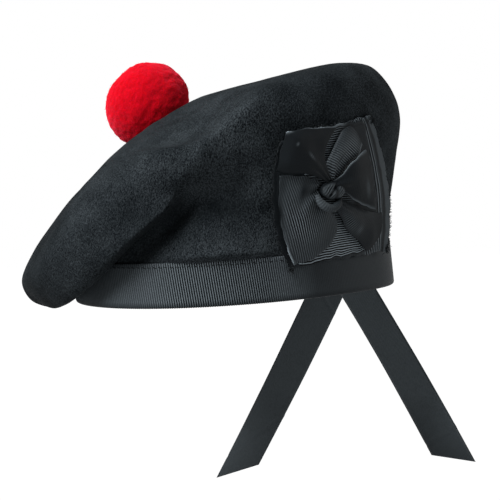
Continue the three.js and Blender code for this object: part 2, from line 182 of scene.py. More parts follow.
# Patches of painted light and painted shade on the felt, which raise or lower the tone of its fibres: place,
# reach and change of tone
CROWN_PAINTED_LIGHT = [
    (84, -26, 115, 26, -0.3),
    (89, 5, 117, 28, -0.15),
    (69, -64, 90, 20, 0.5),
    (60, -77, 76, 14, 0.35),
    (75, -54, 68, 12, 0.25),
    (66, -66, 53, 11, -0.65),
    (54, -77, 55, 9, -0.65),
    (54, -79, 66, 10, 0.6),
    (49, -84, 61, 8, 0.5),
    (76, -51, 27, 7, 0.9),
    (70, -61, 27, 7, 0.9),
    (63, -71, 27, 7, 0.9),
    (55, -79, 27, 7, 0.8),
    (46, -86, 27, 7, 0.5),
    (26, -106, 48, 20, -0.4),
    (40, -95, 70, 14, 0.15),
    (68, 75, 95, 38, 0.6),
    (88, 30, 105, 25, 0.35),
    (70, -58, 45, 12, 0.4),
    (74, -53, 60, 12, 0.25),
    (-40, -95, 60, 28, -0.35),
    (-40, -110, 40, 30, -0.2),
    (-70, -95, 30, 32, -0.5),
    (41, -88, 52, 7, -0.5),
    (33, -94, 43, 8, -0.25),
    (22, -98, 34, 8, -0.15),
]

# Outline of the folded band: distance out from the hem, height, steps to the next corner, how ribbed it is
BAND_OUTLINE = [
    {"out": 0.4, "up": 24.5, "steps": 1, "ribbed": 0},
    {"out": 0.75, "up": 25.0, "steps": 1, "ribbed": 0.4},
    {"out": 1.2, "up": 24.6, "steps": 10, "ribbed": 1},
    {"out": 1.25, "up": 1.3, "steps": 1, "ribbed": 1},
    {"out": 0.9, "up": 0.4, "steps": 1, "ribbed": 1},
    {"out": 0.2, "up": 0.05, "steps": 2, "ribbed": 1},
    {"out": -2.8, "up": 0.05, "steps": 1, "ribbed": 1},
    {"out": -3.5, "up": 0.5, "steps": 1, "ribbed": 1},
    {"out": -3.75, "up": 1.3, "steps": 5, "ribbed": 1},
    {"out": -3.75, "up": 11.6, "steps": 1, "ribbed": 0.4},
    {"out": -3.3, "up": 12.0, "steps": 1, "ribbed": 0},
    {"out": -2.9, "up": 11.6, "steps": 4, "ribbed": 0},
    {"out": -2.9, "up": 1.3, "steps": 2, "ribbed": 0},
    {"out": 0.4, "up": 1.3, "steps": 6, "ribbed": 0},
]

# Backing ribbons of the cockade: lines across each one through its edges a and b and its middle m,
# given towards the back, up and out from the seat
BACKING_ROWS = {
    "cockade_across": [
        {"a": (-30.5, -42.5, 1), "m": (-41.5, -6, 1), "b": (-37, 29, 1)},
        {"a": (-12, -39.5, 1), "m": (-21, -2, 1), "b": (-22, 32, 1)},
        {"a": (13, -39, 1), "m": (5.5, -0.5, 1), "b": (1.5, 36, 1)},
        {"a": (49, -39, 1.2), "m": (50.5, -4, 1.2), "b": (29, 40.5, 1.2)},
    ],
    "cockade_upright": [
        {"a": (-21, 33.5, 2.4), "m": (-1.5, 36.5, 2.4), "b": (21, 37, 2.5)},
        {"a": (-22.5, 12.5, 2.4), "m": (1.5, 11, 2.4), "b": (30, 10.5, 2.6)},
        {"a": (-24, -12, 2.4), "m": (3, -13, 2.4), "b": (35.5, -14, 2.7)},
        {"a": (-25, -40.5, 2.4), "m": (-1.5, -38, 2.4), "b": (27.5, -36.5, 2.7)},
    ],
}

# Petals of the bow, in the same way, from the knot outwards
PETAL_ROWS = {
    "bow_lower_left": [
        {"a": (-14, 5, 4.5), "m": (-16.5, -0.5, 6), "b": (-7, -10.5, 4.6)},
        {"a": (-22, 8.5, 4.8), "m": (-23, -6.5, 7.5), "b": (-1, -17.5, 4.6)},
        {"a": (-28.5, 9.5, 5), "m": (-26.5, -13.5, 7.5), "b": (-4.5, -26.5, 4.6)},
        {"a": (-34.5, 10, 5), "m": (-32, -15.5, 6.5), "b": (-14, -35, 4.4)},
        {"a": (-39.5, 10, 4.8), "m": (-38.5, -15, 5.5), "b": (-30, -39.5, 4.2)},
    ],
    "bow_upper_right": [
        {"a": (-6.5, 6.5, 4.6), "m": (-6, 6, 5.5), "b": (-4, 5, 5)},
        {"a": (-9.5, 15, 4.6), "m": (-6, 15.5, 7), "b": (1, 9, 5)},
        {"a": (-7.5, 20, 4.6), "m": (-1.5, 21.5, 7), "b": (8, 15.5, 5)},
        {"a": (-4, 25.5, 4.6), "m": (3, 27, 6.5), "b": (15, 20, 5)},
        {"a": (0.5, 31.5, 4.4), "m": (8, 34.5, 5), "b": (17.5, 25, 4.6)},
    ],
    "bow_lower_right": [
        {"a": (-2.5, -4, 5), "m": (-4, -6, 6), "b": (-3.5, -8.5, 5)},
        {"a": (7, -7.5, 5), "m": (3.5, -11.5, 7), "b": (2, -15.5, 4.6)},
        {"a": (17, -11.5, 5.2), "m": (11.5, -17.5, 7.2), "b": (8, -24, 4.6)},
        {"a": (27, -14, 5.2), "m": (22, -23, 6.5), "b": (16, -30, 4.5)},
        {"a": (36.5, -15, 5), "m": (34, -27.5, 6), "b": (24.5, -36.5, 4.4)},
    ],
    "bow_upper_left": [
        {"a": (-11.5, 5, 7.5), "m": (-10.5, 6.5, 7.8), "b": (-8, 6, 7.8)},
        {"a": (-22, 10.5, 9.5), "m": (-18, 14, 9.4), "b": (-13, 14.5, 8)},
        {"a": (-31, 11, 10), "m": (-25.5, 21.5, 10.2), "b": (-13.5, 23.5, 7.8)},
        {"a": (-36.5, 11.5, 9), "m": (-31.5, 29, 11), "b": (-10, 30, 7.4)},
        {"a": (-41.3, 12.5, 7.8), "m": (-37.6, 34.5, 9.5), "b": (-6, 35.5, 7)},
    ],
    "bow_right": [
        {"a": (-7.5, 5.5, 8), "m": (-7.5, 4, 9), "b": (-6, 2, 8)},
        {"a": (-2, 9.5, 9), "m": (-1, 4.5, 11), "b": (2, -1.5, 9)},
        {"a": (3.5, 15.5, 9.5), "m": (7, 6, 11.5), "b": (9, -6.5, 9)},
        {"a": (10, 19.5, 9), "m": (14.5, 5.5, 10.5), "b": (17, -9.5, 8.8)},
        {"a": (17.5, 22, 7.8), "m": (22.5, 4.5, 9), "b": (25.5, -12, 8.4)},
    ],
}

# Each petal's pleats at the knot and their depth, crumpling, how far its first edge rolls under, how sharply
# its far end is bent in the middle, how ribbed it is and how far it is darkened near the knot and at its far
# end, the way
# across its ribs, flat size, and patches: place from the knot and across, their sizes, how ribbed and how
# darkened.
# Most patches are painted light: painted highlights along edges, corners, crumples and streaks, and painted
# shade in the hollow beside the knot, along folds and under the petal that lies above.
PETAL_FINISH = {
    "bow_lower_left": {
        "pleats": 3,
        "depth": 1.0,
        "crumple": 0.35,
        "roll": 0,
        "ribbed": (1, 1),
        "dark_and_painted_light": (0.71, 0.6),
        "weft": (-0.95, -0.31),
        "flat": (40, 55),
        "patches": [
            (0.3, -0.6, 0.22, 0.4, 0.1, 1),
            (0.5, 0.85, 0.4, 0.42, 0.5, 0.88),
            (0.9, -0.85, 0.25, 0.45, 0.5, 0.93),
            (0.62, 0.2, 0.22, 0.35, 1, 0.35),
            (1, -0.25, 0.12, 0.6, 0.1, 1),
            (0.975, 0.75, 0.01, 0.3, 0, 1),
            (1, 0.75, 0.012, 0.3, 0, 0),
        ],
    },
    "bow_upper_right": {
        "pleats": 2,
        "depth": 0.6,
        "crumple": 0.4,
        "roll": 0,
        "ribbed": (1, 0.3),
        "dark_and_painted_light": (0.44, 0.95),
        "weft": (0.51, 0.86),
        "flat": (22, 30),
        "patches": [
            (0.65, 0.5, 0.2, 0.4, 1, 0.4),
            (0.4, 0.25, 0.2, 0.06, 0, 1),
            (0.6, 1, 0.5, 0.07, 0, 0.4),
        ],
    },
    "bow_lower_right": {
        "pleats": 2,
        "depth": 0.8,
        "crumple": 0.5,
        "roll": 0,
        "ribbed": (0.4, 0.1),
        "dark_and_painted_light": (0.92, 1),
        "weft": (0.66, -0.75),
        "flat": (26, 48),
        "patches": [
            (0.4, 0.45, 0.14, 0.4, 1, 0.66),
            (0.62, 0.35, 0.04, 0.3, 0.4, 0.8),
            (0.5, -0.8, 0.3, 0.25, 0.1, 0.95),
        ],
    },
    "bow_upper_left": {
        "pleats": 2,
        "depth": 0.4,
        "crumple": 0.8,
        "roll": 3,
        "corner": 0.75,
        "ribbed": (0.2, 0.1),
        "dark_and_painted_light": (1, 1),
        "weft": (-0.8, 0.6),
        "flat": (32, 42),
        "patches": [
            (1, 0.02, 0.03, 0.06, 0, 0.1),
            (1, 0.72, 0.016, 0.3, 0, 0.3),
            (0.46, 0.1, 0.06, 0.07, 0.6, 0.75),
            (0.75, -0.1, 0.02, 0.05, 0.2, 0.7),
        ],
    },
    "bow_right": {
        "pleats": 2,
        "depth": 0.8,
        "crumple": 0.6,
        "roll": 0,
        "ribbed": (0.2, 0.1),
        "dark_and_painted_light": (1, 1),
        "weft": (1, 0),
        "flat": (28, 34),
        "patches": [
            (0.5, -1, 0.6, 0.06, 0, 0.5),
            (0.5, 1, 0.6, 0.06, 0, 0.6),
            (0.8, 0.3, 0.05, 0.3, 0.4, 0.8),
        ],
    },
}

# The ties: side they lean to, layer behind the band, start, lean and lengths of their two edges
TIES = {
    "tail_left": {"side": 1, "layer": 0, "start": -9.6, "lean": 37.1, "inner": 147.5, "outer": 168},
    "tail_right": {"side": -1, "layer": 1, "start": -0.5, "lean": 32.2, "inner": 165, "outer": 196.5},
}

# How the ties leave the flat of the back: share of the length, distance out and twist in degrees
TIE_SECTIONS = [
    {"along": 0.0, "out": 0.0, "twist": 0},
    {"along": 0.14, "out": 0.3, "twist": 0},
    {"along": 0.45, "out": -1.5, "twist": 1.5},
    {"along": 0.75, "out": -5.0, "twist": 1.5},
    {"along": 1.0, "out": -9.0, "twist": 2.5},
]

# Creases pressed across the ties: share of the length, slant of the line and height of the fold
TIE_CREASES = {
    "tail_left": [{"along": 0.9, "slant": 0.05, "height": 0.25}],
    "tail_right": [
        {"along": 0.2, "slant": 0.05, "height": 0.3},
        {"along": 0.83, "slant": -0.08, "height": 0.35},
    ],
}

# Lower roll of the knot: centre line on the seat, and radius
KNOT_ROLL = [
    {"back": -18.6, "up": -0.6, "out": 8.0, "radius": 1.1},
    {"back": -17.4, "up": -4.6, "out": 9.3, "radius": 2.1},
    {"back": -14.2, "up": -7.6, "out": 10.2, "radius": 2.4},
    {"back": -9.4, "up": -8.4, "out": 10.4, "radius": 2.2},
    {"back": -5.6, "up": -6.4, "out": 9.8, "radius": 2.0},
    {"back": -3.2, "up": -3.4, "out": 8.4, "radius": 1.1},
]

# Matted fibres: stretch and turn of the lying hairs, octaves, shares of the hairs and of the patches of tone,
# the ends between which the tone runs from dark to light, and the curve that it follows
GRAIN = {
    "stretch": (1.0, 0.7, 0.5),
    "turn": (0.5, 0.3, 0.2),
    "detail": 1,
    "hairs": 0.5,
    "patches": 0.25,
    "patch_detail": 3,
    "ends": (0.35, 0.67),
    "curve": 1.5,
}

# Weave of the ribbons: the part of a wave that is the side of a rib, the height of the threads along it, and
# the level of the wave at which the cloth stays where it was
RIB_ENDS = (0.7, 0.95)
THREAD_HEIGHT = 0.35
RIB_MIDDLE = 0.6

# Looks of the woven ribbons: roughness, shine, fineness of the grain and of its patches, wear, and the depth
# in millimetres and strength of the raised weave
WOVEN = {
    "ribbon": {
        "rough": 0.5,
        "specular": 0.04,
        "grain": 1500,
        "patches": 80,
        "wear": 0.3,
        "bump": (0.15, 0.5),
    },
    "tie": {
        "rough": 0.55,
        "specular": 0.08,
        "grain": 1200,
        "patches": 45,
        "wear": 0.3,
        "bump": (0.08, 0.4),
    },
}

# Threads and yarn: thickness, how far they taper, stray and differ in size, and the seed of their places
STITCH = {"Thickness": 0.26 * MM, "Taper": 0.7, "Unruliness": 0.06, "Unevenness": 0.12, "Seed": 3}
FRAY = {"Thickness": 0.14 * MM, "Taper": 0.5, "Unruliness": 0.9, "Unevenness": 0.6, "Seed": 11}
YARN = {"Thickness": 0.08 * MM, "Taper": 0.5, "Unruliness": 1.6, "Unevenness": 0.4, "Seed": 7}

# Camera, as the bonnet is seen: degrees, metres, and the frame's own pixels
VIEW = {"azimuth": 42, "elevation": 4.4, "roll": 2.95, "distance": 1.0, "lens": 120, "sensor": 36}
VIEW_FRAME = 500
ORIGIN_PIXEL = (236.5, 288.4)


def length(name, description, default):
    """A property that holds a length in metres."""
    return bpy.props.FloatProperty(
        name=name,
        description=description,
        default=default,
        min=0,
        precision=5,
        subtype="DISTANCE",
        unit="LENGTH",
    )


def colour(name, description, default):
    """A property that holds a linear colour."""
    return bpy.props.FloatVectorProperty(
        name=name, description=description, default=default, size=4, min=0, max=1, subtype="COLOR"
    )


class BonnetSizes(bpy.types.PropertyGroup):
    """Sizes of the weave, stitches and wool"""

    rib_pitch: length("Rib pitch", "Distance between two ribs of the ribbon", 1.3 * MM)
    rib_height: length("Rib height", "Height of a rib over its groove", 0.28 * MM)
    tie_rib_pitch: length("Tie rib pitch", "Distance between two ribs of the ties", 0.8 * MM)
    felt_swell: length("Felt swell", "Height of the soft unevenness of the felt", 0.5 * MM)
    stitch_step: length("Stitch step", "Distance between two stitches of the band", 3.2 * MM)
    fray_length: length("Fray length", "Length of the loose threads at cut edges", 1.3 * MM)
    yarn_length: length("Yarn length", "Length of the cut yarn that shows on the ball", 0.8 * MM)
    yarn_count: bpy.props.IntProperty(
        name="Yarn ends", description="Number of yarn ends on the ball", default=900, min=100
    )


class BonnetColours(bpy.types.PropertyGroup):
    """Colours of the felt, ribbon and wool"""

    felt: colour("Felt", "Blue-black felt", (0.0008, 0.0016, 0.0022, 1))
    felt_light: colour("Felt nap", "Lighter fibres in the felt", (0.0228, 0.0277, 0.0310, 1))
    ribbon: colour("Ribbon rib", "Top of the ribbon's ribs", (0.1600, 0.1900, 0.2100, 1))
    # Painted shade: colour of the grooves between the ribs; also the deepest tone of worn patches and of the
    # threads
    groove_shade_and_dark_tone: colour("Ribbon groove", "Groove between the ribs", (0.0010, 0.0014, 0.0017, 1))
    smooth: colour("Smooth side", "Dark smooth side of the ribbon", (0.0053, 0.0068, 0.0080, 1))
    tie: colour("Tie", "Smooth ribbon of the ties", (0.0640, 0.0770, 0.0850, 1))
    thread: colour("Thread", "Loose threads and stitches", (0.0260, 0.0310, 0.0340, 1))
    wool: colour("Wool", "Scarlet wool of the ball", (0.285, 0.0004, 0.0040, 1))
    wool_deep: colour("Wool depth", "Wool between the yarn ends", (0.235, 0.0004, 0.0032, 1))


# Curves and surfaces


def smooth_line(points, count):
    """Centripetal line through the points, at even steps of its parameter."""
    points = np.asarray(points, float)
    ends = np.vstack([2 * points[0] - points[1], points, 2 * points[-1] - points[-2]])
    place = np.linspace(0, len(points) - 1, count)
    span = np.minimum(place.astype(int), len(points) - 2)
    t = (place - span)[:, None]
    p0, p1, p2, p3 = (ends[span + k] for k in range(4))
    d0, d1, d2 = (np.sqrt(np.linalg.norm(b - a, axis=1))[:, None] for a, b in ((p0, p1), (p1, p2), (p2, p3)))
    slope1 = d1 * ((p1 - p0) / d0 - (p2 - p0) / (d0 + d1) + (p2 - p1) / d1)
    slope2 = d1 * ((p2 - p1) / d1 - (p3 - p1) / (d1 + d2) + (p3 - p2) / d2)
    start = (2 * t**3 - 3 * t**2 + 1) * p1 + (t**3 - 2 * t**2 + t) * slope1
    return start + (3 * t**2 - 2 * t**3) * p2 + (t**3 - t**2) * slope2


def table_line(rows, key, places):
    """Smooth value of one column of a table at the places along it."""
    found = smooth_line([(row["along"], row[key]) for row in rows], 200)
    return np.interp(places, found[:, 0], found[:, 1])


def oval_point(turn, out, up):
    """Point past the hem's oval, at a turn in degrees from the front towards the left, in millimetres."""
    t = np.radians(turn)
    normal = np.stack([HALF_LENGTH * np.sin(t), -HALF_WIDTH * np.cos(t)], -1)
    normal = normal / np.linalg.norm(normal, axis=-1, keepdims=True)
    x = HALF_WIDTH * np.sin(t) + out * normal[..., 0]
    y = -HALF_LENGTH * np.cos(t) + out * normal[..., 1]
    return np.stack(np.broadcast_arrays(x, y, up), -1)


def even_turns(count):
    """Turns that divide the hem's oval into equal lengths, and the oval's whole length in millimetres."""
    fine = np.linspace(0, 360, 7201)
    points = oval_point(fine, 0, 0)
    distance = np.concatenate([[0], np.cumsum(np.linalg.norm(np.diff(points, axis=0), axis=1))])
    return np.interp(np.arange(count) / count * distance[-1], distance, fine), distance[-1]


def seat_axes():
    """Base point and the directions back, up and out of the cockade's seat."""
    outward = oval_point(SEAT["turn"], 1, 0) - oval_point(SEAT["turn"], 0, 0)
    back = np.array([-outward[1], outward[0], 0])
    lean = math.radians(SEAT["lean"])
    rise = np.array([0, 0, math.cos(lean)]) + outward * math.sin(lean)
    facing = outward * math.cos(lean) - np.array([0, 0, math.sin(lean)])
    return oval_point(SEAT["turn"], SEAT["stand"], SEAT["up"]), back, rise, facing


def seat_point(place):
    """Points of the row frame in metres from places on the seat: back, up and out in millimetres."""
    base, back, rise, facing = seat_axes()
    radius = np.where(place[..., 0] < 0, SEAT["radius_front"], SEAT["radius_back"])
    angle = place[..., 0] / radius
    reach = radius + place[..., 2]
    point = base + (reach * np.sin(angle))[..., None] * back
    point = point + (reach * np.cos(angle) - radius)[..., None] * facing
    return (point + place[..., 1][..., None] * rise) * MM


def bowed_rows(rows, along, across):
    """Grid through a table of rows: smooth along it, a smooth bow across it."""
    a, m, b = (smooth_line([row[key] for row in rows], along) for key in "amb")
    v = np.linspace(-1, 1, across)[None, :, None]
    return a[:, None] * (v * v - v) / 2 + m[:, None] * (1 - v * v) + b[:, None] * (v * v + v) / 2


def steps_along(rows, steps_per_rib):
    """Steps along a table of rows that give each rib the same number of them."""
    middle = travelled(bowed_rows(rows, along=60, across=9), 0)[-1]
    return int(middle * MM / sizes().rib_pitch * steps_per_rib)


RIM_SHARPNESS = 8
WANDER_STARTS = (17.0, 43.0)


def wander(grid, reach, size):
    """Grid whose places near its rim are moved a little back and up, so that the edges run unevenly."""
    u, v = (np.abs(np.linspace(-1, 1, count)) for count in grid.shape[:2])
    rim = np.maximum(u[:, None], v[None]) ** RIM_SHARPNESS
    moved = grid.copy()
    for axis, start in enumerate(WANDER_STARTS):
        moved[..., axis] += reach * rim * noise_at(grid + start, size)
    return moved


def travelled(grid, axis):
    """Distance along one axis of a grid of points, measured on its middle line."""
    middle = grid[:, grid.shape[1] // 2] if axis == 0 else grid[grid.shape[0] // 2]
    return np.concatenate([[0], np.cumsum(np.linalg.norm(np.diff(middle, axis=0), axis=1))])


def grid_faces(rows, columns, wrap_rows=False, wrap_columns=False):
    """Quads over a grid of corner numbers."""
    i = np.arange(rows if wrap_rows else rows - 1)
    j = np.arange(columns if wrap_columns else columns - 1)
    i, j = (part.ravel() for part in np.meshgrid(i, j, indexing="ij"))
    i2, j2 = (i + 1) % rows, (j + 1) % columns
    return np.stack([i * columns + j, i2 * columns + j, i2 * columns + j2, i * columns + j2], -1)


def closed_tube(rows, columns):
    """Quads over a tube of rings, with a cap on its first and last ring."""
    half = columns // 2
    parts = [grid_faces(rows, columns, wrap_columns=True)]
    for row in (0, rows - 1):
        ring = row * columns + np.arange(columns)
        cap = np.stack([ring[: half - 1], ring[1:half], ring[::-1][1:half], ring[::-1][: half - 1]], -1)
        parts.append(cap[:, ::-1] if row == 0 else cap)
    return np.concatenate(parts)


def enclosed(points, faces):
    """Six times the volume inside the faces; it is below zero where they point inwards."""
    corners = points[faces]
    first = np.einsum("ij,ij->i", corners[:, 0], np.cross(corners[:, 1], corners[:, 2]))
    second = np.einsum("ij,ij->i", corners[:, 0], np.cross(corners[:, 2], corners[:, 3]))
    return (first + second).sum()


def make_piece(name, points, faces, marks):
    """Smooth mesh object from corner points and quads, with named values on its corners."""
    points = np.asarray(points).reshape(-1, 3)
    if len(faces) and enclosed(points, faces) < 0:
        faces = faces[:, ::-1]
    mesh = bpy.data.meshes.new(name)
    mesh.from_pydata(points.tolist(), [], np.asarray(faces).tolist())
    for mark, values in marks.items():
        values = np.asarray(values, np.float32)
        kind = "FLOAT_VECTOR" if values.ndim == 2 else "FLOAT"
        layer = mesh.attributes.new(mark, kind, "POINT")
        layer.data.foreach_set("vector" if values.ndim == 2 else "value", values.ravel())
    mesh.shade_smooth()
    mesh.validate()
    piece = bpy.data.objects.new(name, mesh)
    bpy.context.scene.collection.objects.link(piece)
    return piece


def read_corners(mesh, key):
    """One value of every corner of a mesh, as rows of three."""
    values = np.empty(len(mesh.vertices) * 3)
    mesh.vertices.foreach_get(key, values)
    return values.reshape(-1, 3)


def noise_at(places, size):
    """Soft noise at places, with bumps of about the given size."""
    flat = np.asarray(places).reshape(-1, 3) / size
    return np.array([noise.noise(Vector(place)) for place in flat]).reshape(np.shape(places)[:-1])


def make_sheet(name, grid, thickness, ribbed, weft=None, dark_and_painted_light=0.0):
    """Closed sheet of even thickness about a grid of points, marked with its weave.

    The weft is the distance of each point across the ribs, if they aren't square to the grid.
    """
    along = np.gradient(grid, axis=0)
    across = np.gradient(grid, axis=1)
    normal = np.cross(along, across)
    normal /= np.linalg.norm(normal, axis=-1, keepdims=True)
    rows, columns = grid.shape[:2]
    ring = np.concatenate([grid + normal * thickness / 2, (grid - normal * thickness / 2)[:, ::-1]], 1)
    u = np.repeat(travelled(grid, 0)[:, None], columns, 1) if weft is None else weft
    v = np.repeat(travelled(grid, 1)[None], rows, 0)
    marks = {"along": u, "across": v}
    marks |= {mark: np.broadcast_to(value, u.shape) for mark, value in (("ribbed", ribbed), ("dark_and_painted_light", dark_and_painted_light))}
    marks = {mark: np.concatenate([value, value[:, ::-1]], 1).ravel() for mark, value in marks.items()}
    faces = grid_faces(rows, 2 * columns, wrap_columns=True)
    ends = []
    for row in (0, rows - 1):
        near = row * 2 * columns + np.arange(columns)
        far = row * 2 * columns + 2 * columns - 1 - np.arange(columns)
        cap = np.stack([near[:-1], near[1:], far[1:], far[:-1]], -1)
        ends.append(cap if row == 0 else cap[:, ::-1])
    return make_piece(name, ring, np.concatenate([faces, *ends]), marks)


# Geometry node trees


def new_tree(name, inputs):
    """Geometry node tree with named inputs; returns it with its first and last node."""
    tree = bpy.data.node_groups.new(name, "GeometryNodeTree")
    tree.interface.new_socket("Geometry", in_out="INPUT", socket_type="NodeSocketGeometry")
    for label, kind in inputs.items():
        tree.interface.new_socket(label, in_out="INPUT", socket_type="NodeSocket" + kind)
    tree.interface.new_socket("Material", in_out="INPUT", socket_type="NodeSocketMaterial")
    tree.interface.new_socket("Geometry", in_out="OUTPUT", socket_type="NodeSocketGeometry")
    start = tree.nodes.new("NodeGroupInput")
    realize = tree.nodes.new("GeometryNodeRealizeInstances")
    paint = tree.nodes.new("GeometryNodeSetMaterial")
    end = tree.nodes.new("NodeGroupOutput")
    tree.links.new(realize.outputs["Geometry"], paint.inputs["Geometry"])
    tree.links.new(start.outputs["Material"], paint.inputs["Material"])
    tree.links.new(paint.outputs["Geometry"], end.inputs["Geometry"])
    return tree, start, realize


def calculate(tree, operation, *values):
    """Math node of a tree; each value is a number or another node's output."""
    node = tree.nodes.new("ShaderNodeMath")
    node.operation = operation
    for socket, value in zip(node.inputs, values):
        if isinstance(value, (int, float)):
            socket.default_value = value
        else:
            tree.links.new(value, socket)
    return node.outputs["Value"]


def named_value(tree, mark, kind="FLOAT"):
    """Value that the corners of a mesh carry under a name."""
    node = tree.nodes.new("GeometryNodeInputNamedAttribute")
    node.data_type = kind
    node.inputs["Name"].default_value = mark
    return node.outputs["Attribute"]


def vector_math(tree, operation, first, second=None, scale=None):
    """Vector math node of a tree."""
    node = tree.nodes.new("ShaderNodeVectorMath")
    node.operation = operation
    tree.links.new(first, node.inputs[0])
    if second is not None:
        tree.links.new(second, node.inputs[1])
    if scale is not None:
        tree.links.new(scale, node.inputs["Scale"])
    return node.outputs["Vector"]


def random_vector(tree, seed):
    """Even random vector between -1 and 1 on each axis."""
    node = tree.nodes.new("FunctionNodeRandomValue")
    node.data_type = "FLOAT_VECTOR"
    node.inputs["Min"].default_value = (-1, -1, -1)
    node.inputs["Max"].default_value = (1, 1, 1)
    tree.links.new(seed, node.inputs["Seed"])
    return node.outputs["Value"]


def rib_tree():
    """Ribs raised across a ribbon, each a rounded ridge with a narrow groove beside it."""
    tree, start, realize = new_tree("ribbon_ribs", {"Pitch": "Float", "Height": "Float"})
    turn = calculate(tree, "DIVIDE", named_value(tree, "along"), start.outputs["Pitch"])
    wave = calculate(tree, "ABSOLUTE", calculate(tree, "SINE", calculate(tree, "MULTIPLY", turn, math.pi)))
    rise = calculate(tree, "SUBTRACT", wave, RIB_MIDDLE)
    height = calculate(tree, "MULTIPLY", start.outputs["Height"], named_value(tree, "ribbed"))
    normal = tree.nodes.new("GeometryNodeInputNormal").outputs["Normal"]
    offset = vector_math(tree, "SCALE", normal, scale=calculate(tree, "MULTIPLY", rise, height))
    move = tree.nodes.new("GeometryNodeSetPosition")
    tree.links.new(start.outputs["Geometry"], move.inputs["Geometry"])
    tree.links.new(offset, move.inputs["Offset"])
    tree.links.new(move.outputs["Geometry"], realize.inputs["Geometry"])
    return tree


def strand_instances(tree, start, points, way, sides):
    """Tapered strands on points, each along its own way with some unruliness."""
    seed = start.outputs["Seed"]
    jitter = vector_math(tree, "SCALE", random_vector(tree, seed), scale=start.outputs["Unruliness"])
    align = tree.nodes.new("FunctionNodeAlignRotationToVector")
    align.axis = "Z"
    tree.links.new(vector_math(tree, "ADD", way, jitter), align.inputs["Vector"])
    strand = tree.nodes.new("GeometryNodeMeshCone")
    strand.inputs["Vertices"].default_value = sides
    tree.links.new(start.outputs["Length"], strand.inputs["Depth"])
    tree.links.new(start.outputs["Thickness"], strand.inputs["Radius Bottom"])
    tip = calculate(tree, "MULTIPLY", start.outputs["Thickness"], start.outputs["Taper"])
    tree.links.new(tip, strand.inputs["Radius Top"])
    size = tree.nodes.new("FunctionNodeRandomValue")
    size.data_type = "FLOAT"
    floor, ceiling = (node for node in size.inputs if node.name in ("Min", "Max") and node.type == "VALUE")
    tree.links.new(calculate(tree, "SUBTRACT", 1.0, start.outputs["Unevenness"]), floor)
    tree.links.new(calculate(tree, "ADD", 1.0, start.outputs["Unevenness"]), ceiling)
    tree.links.new(seed, size.inputs["Seed"])
    place = tree.nodes.new("GeometryNodeInstanceOnPoints")
    tree.links.new(points, place.inputs["Points"])
    tree.links.new(strand.outputs["Mesh"], place.inputs["Instance"])
    tree.links.new(align.outputs["Rotation"], place.inputs["Rotation"])
    value = next(out for out in size.outputs if out.type == "VALUE")
    tree.links.new(value, place.inputs["Scale"])
    return place.outputs["Instances"]


STRAND_INPUTS = {
    "Length": "Float",
    "Thickness": "Float",
    "Taper": "Float",
    "Unruliness": "Float",
    "Unevenness": "Float",
    "Seed": "Int",
}


def thread_tree():
    """Threads at marked corners: stitches that lie along a row, or loose ends of a cut edge."""
    tree, start, realize = new_tree("thread_ends", STRAND_INPUTS)
    way = named_value(tree, "way", "FLOAT_VECTOR")
    made = strand_instances(tree, start, start.outputs["Geometry"], way, sides=5)
    tree.links.new(made, realize.inputs["Geometry"])
    return tree


def yarn_tree():
    """Cut yarn ends that stand all over a ball, and the ball itself."""
    tree, start, realize = new_tree("yarn_ends", {**STRAND_INPUTS, "Density": "Float"})
    spread = tree.nodes.new("GeometryNodeDistributePointsOnFaces")
    tree.links.new(start.outputs["Geometry"], spread.inputs["Mesh"])
    tree.links.new(start.outputs["Density"], spread.inputs["Density"])
    tree.links.new(start.outputs["Seed"], spread.inputs["Seed"])
    made = strand_instances(tree, start, spread.outputs["Points"], spread.outputs["Normal"], sides=3)
    together = tree.nodes.new("GeometryNodeJoinGeometry")
    tree.links.new(made, together.inputs["Geometry"])
    tree.links.new(start.outputs["Geometry"], together.inputs["Geometry"])
    tree.links.new(together.outputs["Geometry"], realize.inputs["Geometry"])
    return tree


KEPT = {}


def once(maker):
    """The tree or material that a maker makes, made the first time and kept."""
    if maker.__name__ not in KEPT:
        KEPT[maker.__name__] = maker()
    return KEPT[maker.__name__]


def plain_mesh(piece):
    """Turns a piece with modifiers into a plain mesh."""
    depsgraph = bpy.context.evaluated_depsgraph_get()
    mesh = bpy.data.meshes.new_from_object(
        piece.evaluated_get(depsgraph), preserve_all_data_layers=True, depsgraph=depsgraph
    )
    piece.modifiers.clear()
    piece.data = mesh
    mesh.shade_smooth()


def grow(piece, tree, **values):
    """Runs a geometry node tree on a piece with the given inputs and keeps the result as its mesh."""
    modifier = piece.modifiers.new(tree.name, "NODES")
    modifier.node_group = tree
    for item in tree.interface.items_tree:
        if item.item_type == "SOCKET" and item.in_out == "INPUT" and item.name in values:
            modifier[item.identifier] = values[item.name]
    plain_mesh(piece)
    return piece


# Materials


def new_group(name, inputs, outputs):
    """Shader node group with named inputs and outputs."""
    group = bpy.data.node_groups.new(name, "ShaderNodeTree")
    for label, value in inputs.items():
        socket = group.interface.new_socket(label, in_out="INPUT", socket_type="NodeSocketFloat")
        socket.default_value = value
    for label in outputs:
        group.interface.new_socket(label, in_out="OUTPUT", socket_type="NodeSocketFloat")
    return group, group.nodes.new("NodeGroupInput"), group.nodes.new("NodeGroupOutput")


def noise_node(tree, vector, scale, detail):
    """Noise over a vector, around one half."""
    node = tree.nodes.new("ShaderNodeTexNoise")
    node.inputs["Detail"].default_value = detail
    tree.links.new(vector, node.inputs["Vector"])
    if isinstance(scale, (int, float)):
        node.inputs["Scale"].default_value = scale
    else:
        tree.links.new(scale, node.inputs["Scale"])
    return node.outputs["Fac"]


def weighted_sum(tree, *parts):
    """Sum of two values of a tree, each given with its share."""
    first, second = (calculate(tree, "MULTIPLY", value, share) for value, share in parts)
    return calculate(tree, "ADD", first, second)


def between(tree, value, ends, smooth):
    """Value stretched so that the first end becomes 0 and the second becomes 1."""
    node = tree.nodes.new("ShaderNodeMapRange")
    node.interpolation_type = "SMOOTHSTEP" if smooth else "LINEAR"
    node.inputs["From Min"].default_value, node.inputs["From Max"].default_value = ends
    tree.links.new(value, node.inputs["Value"])
    return node.outputs["Result"]


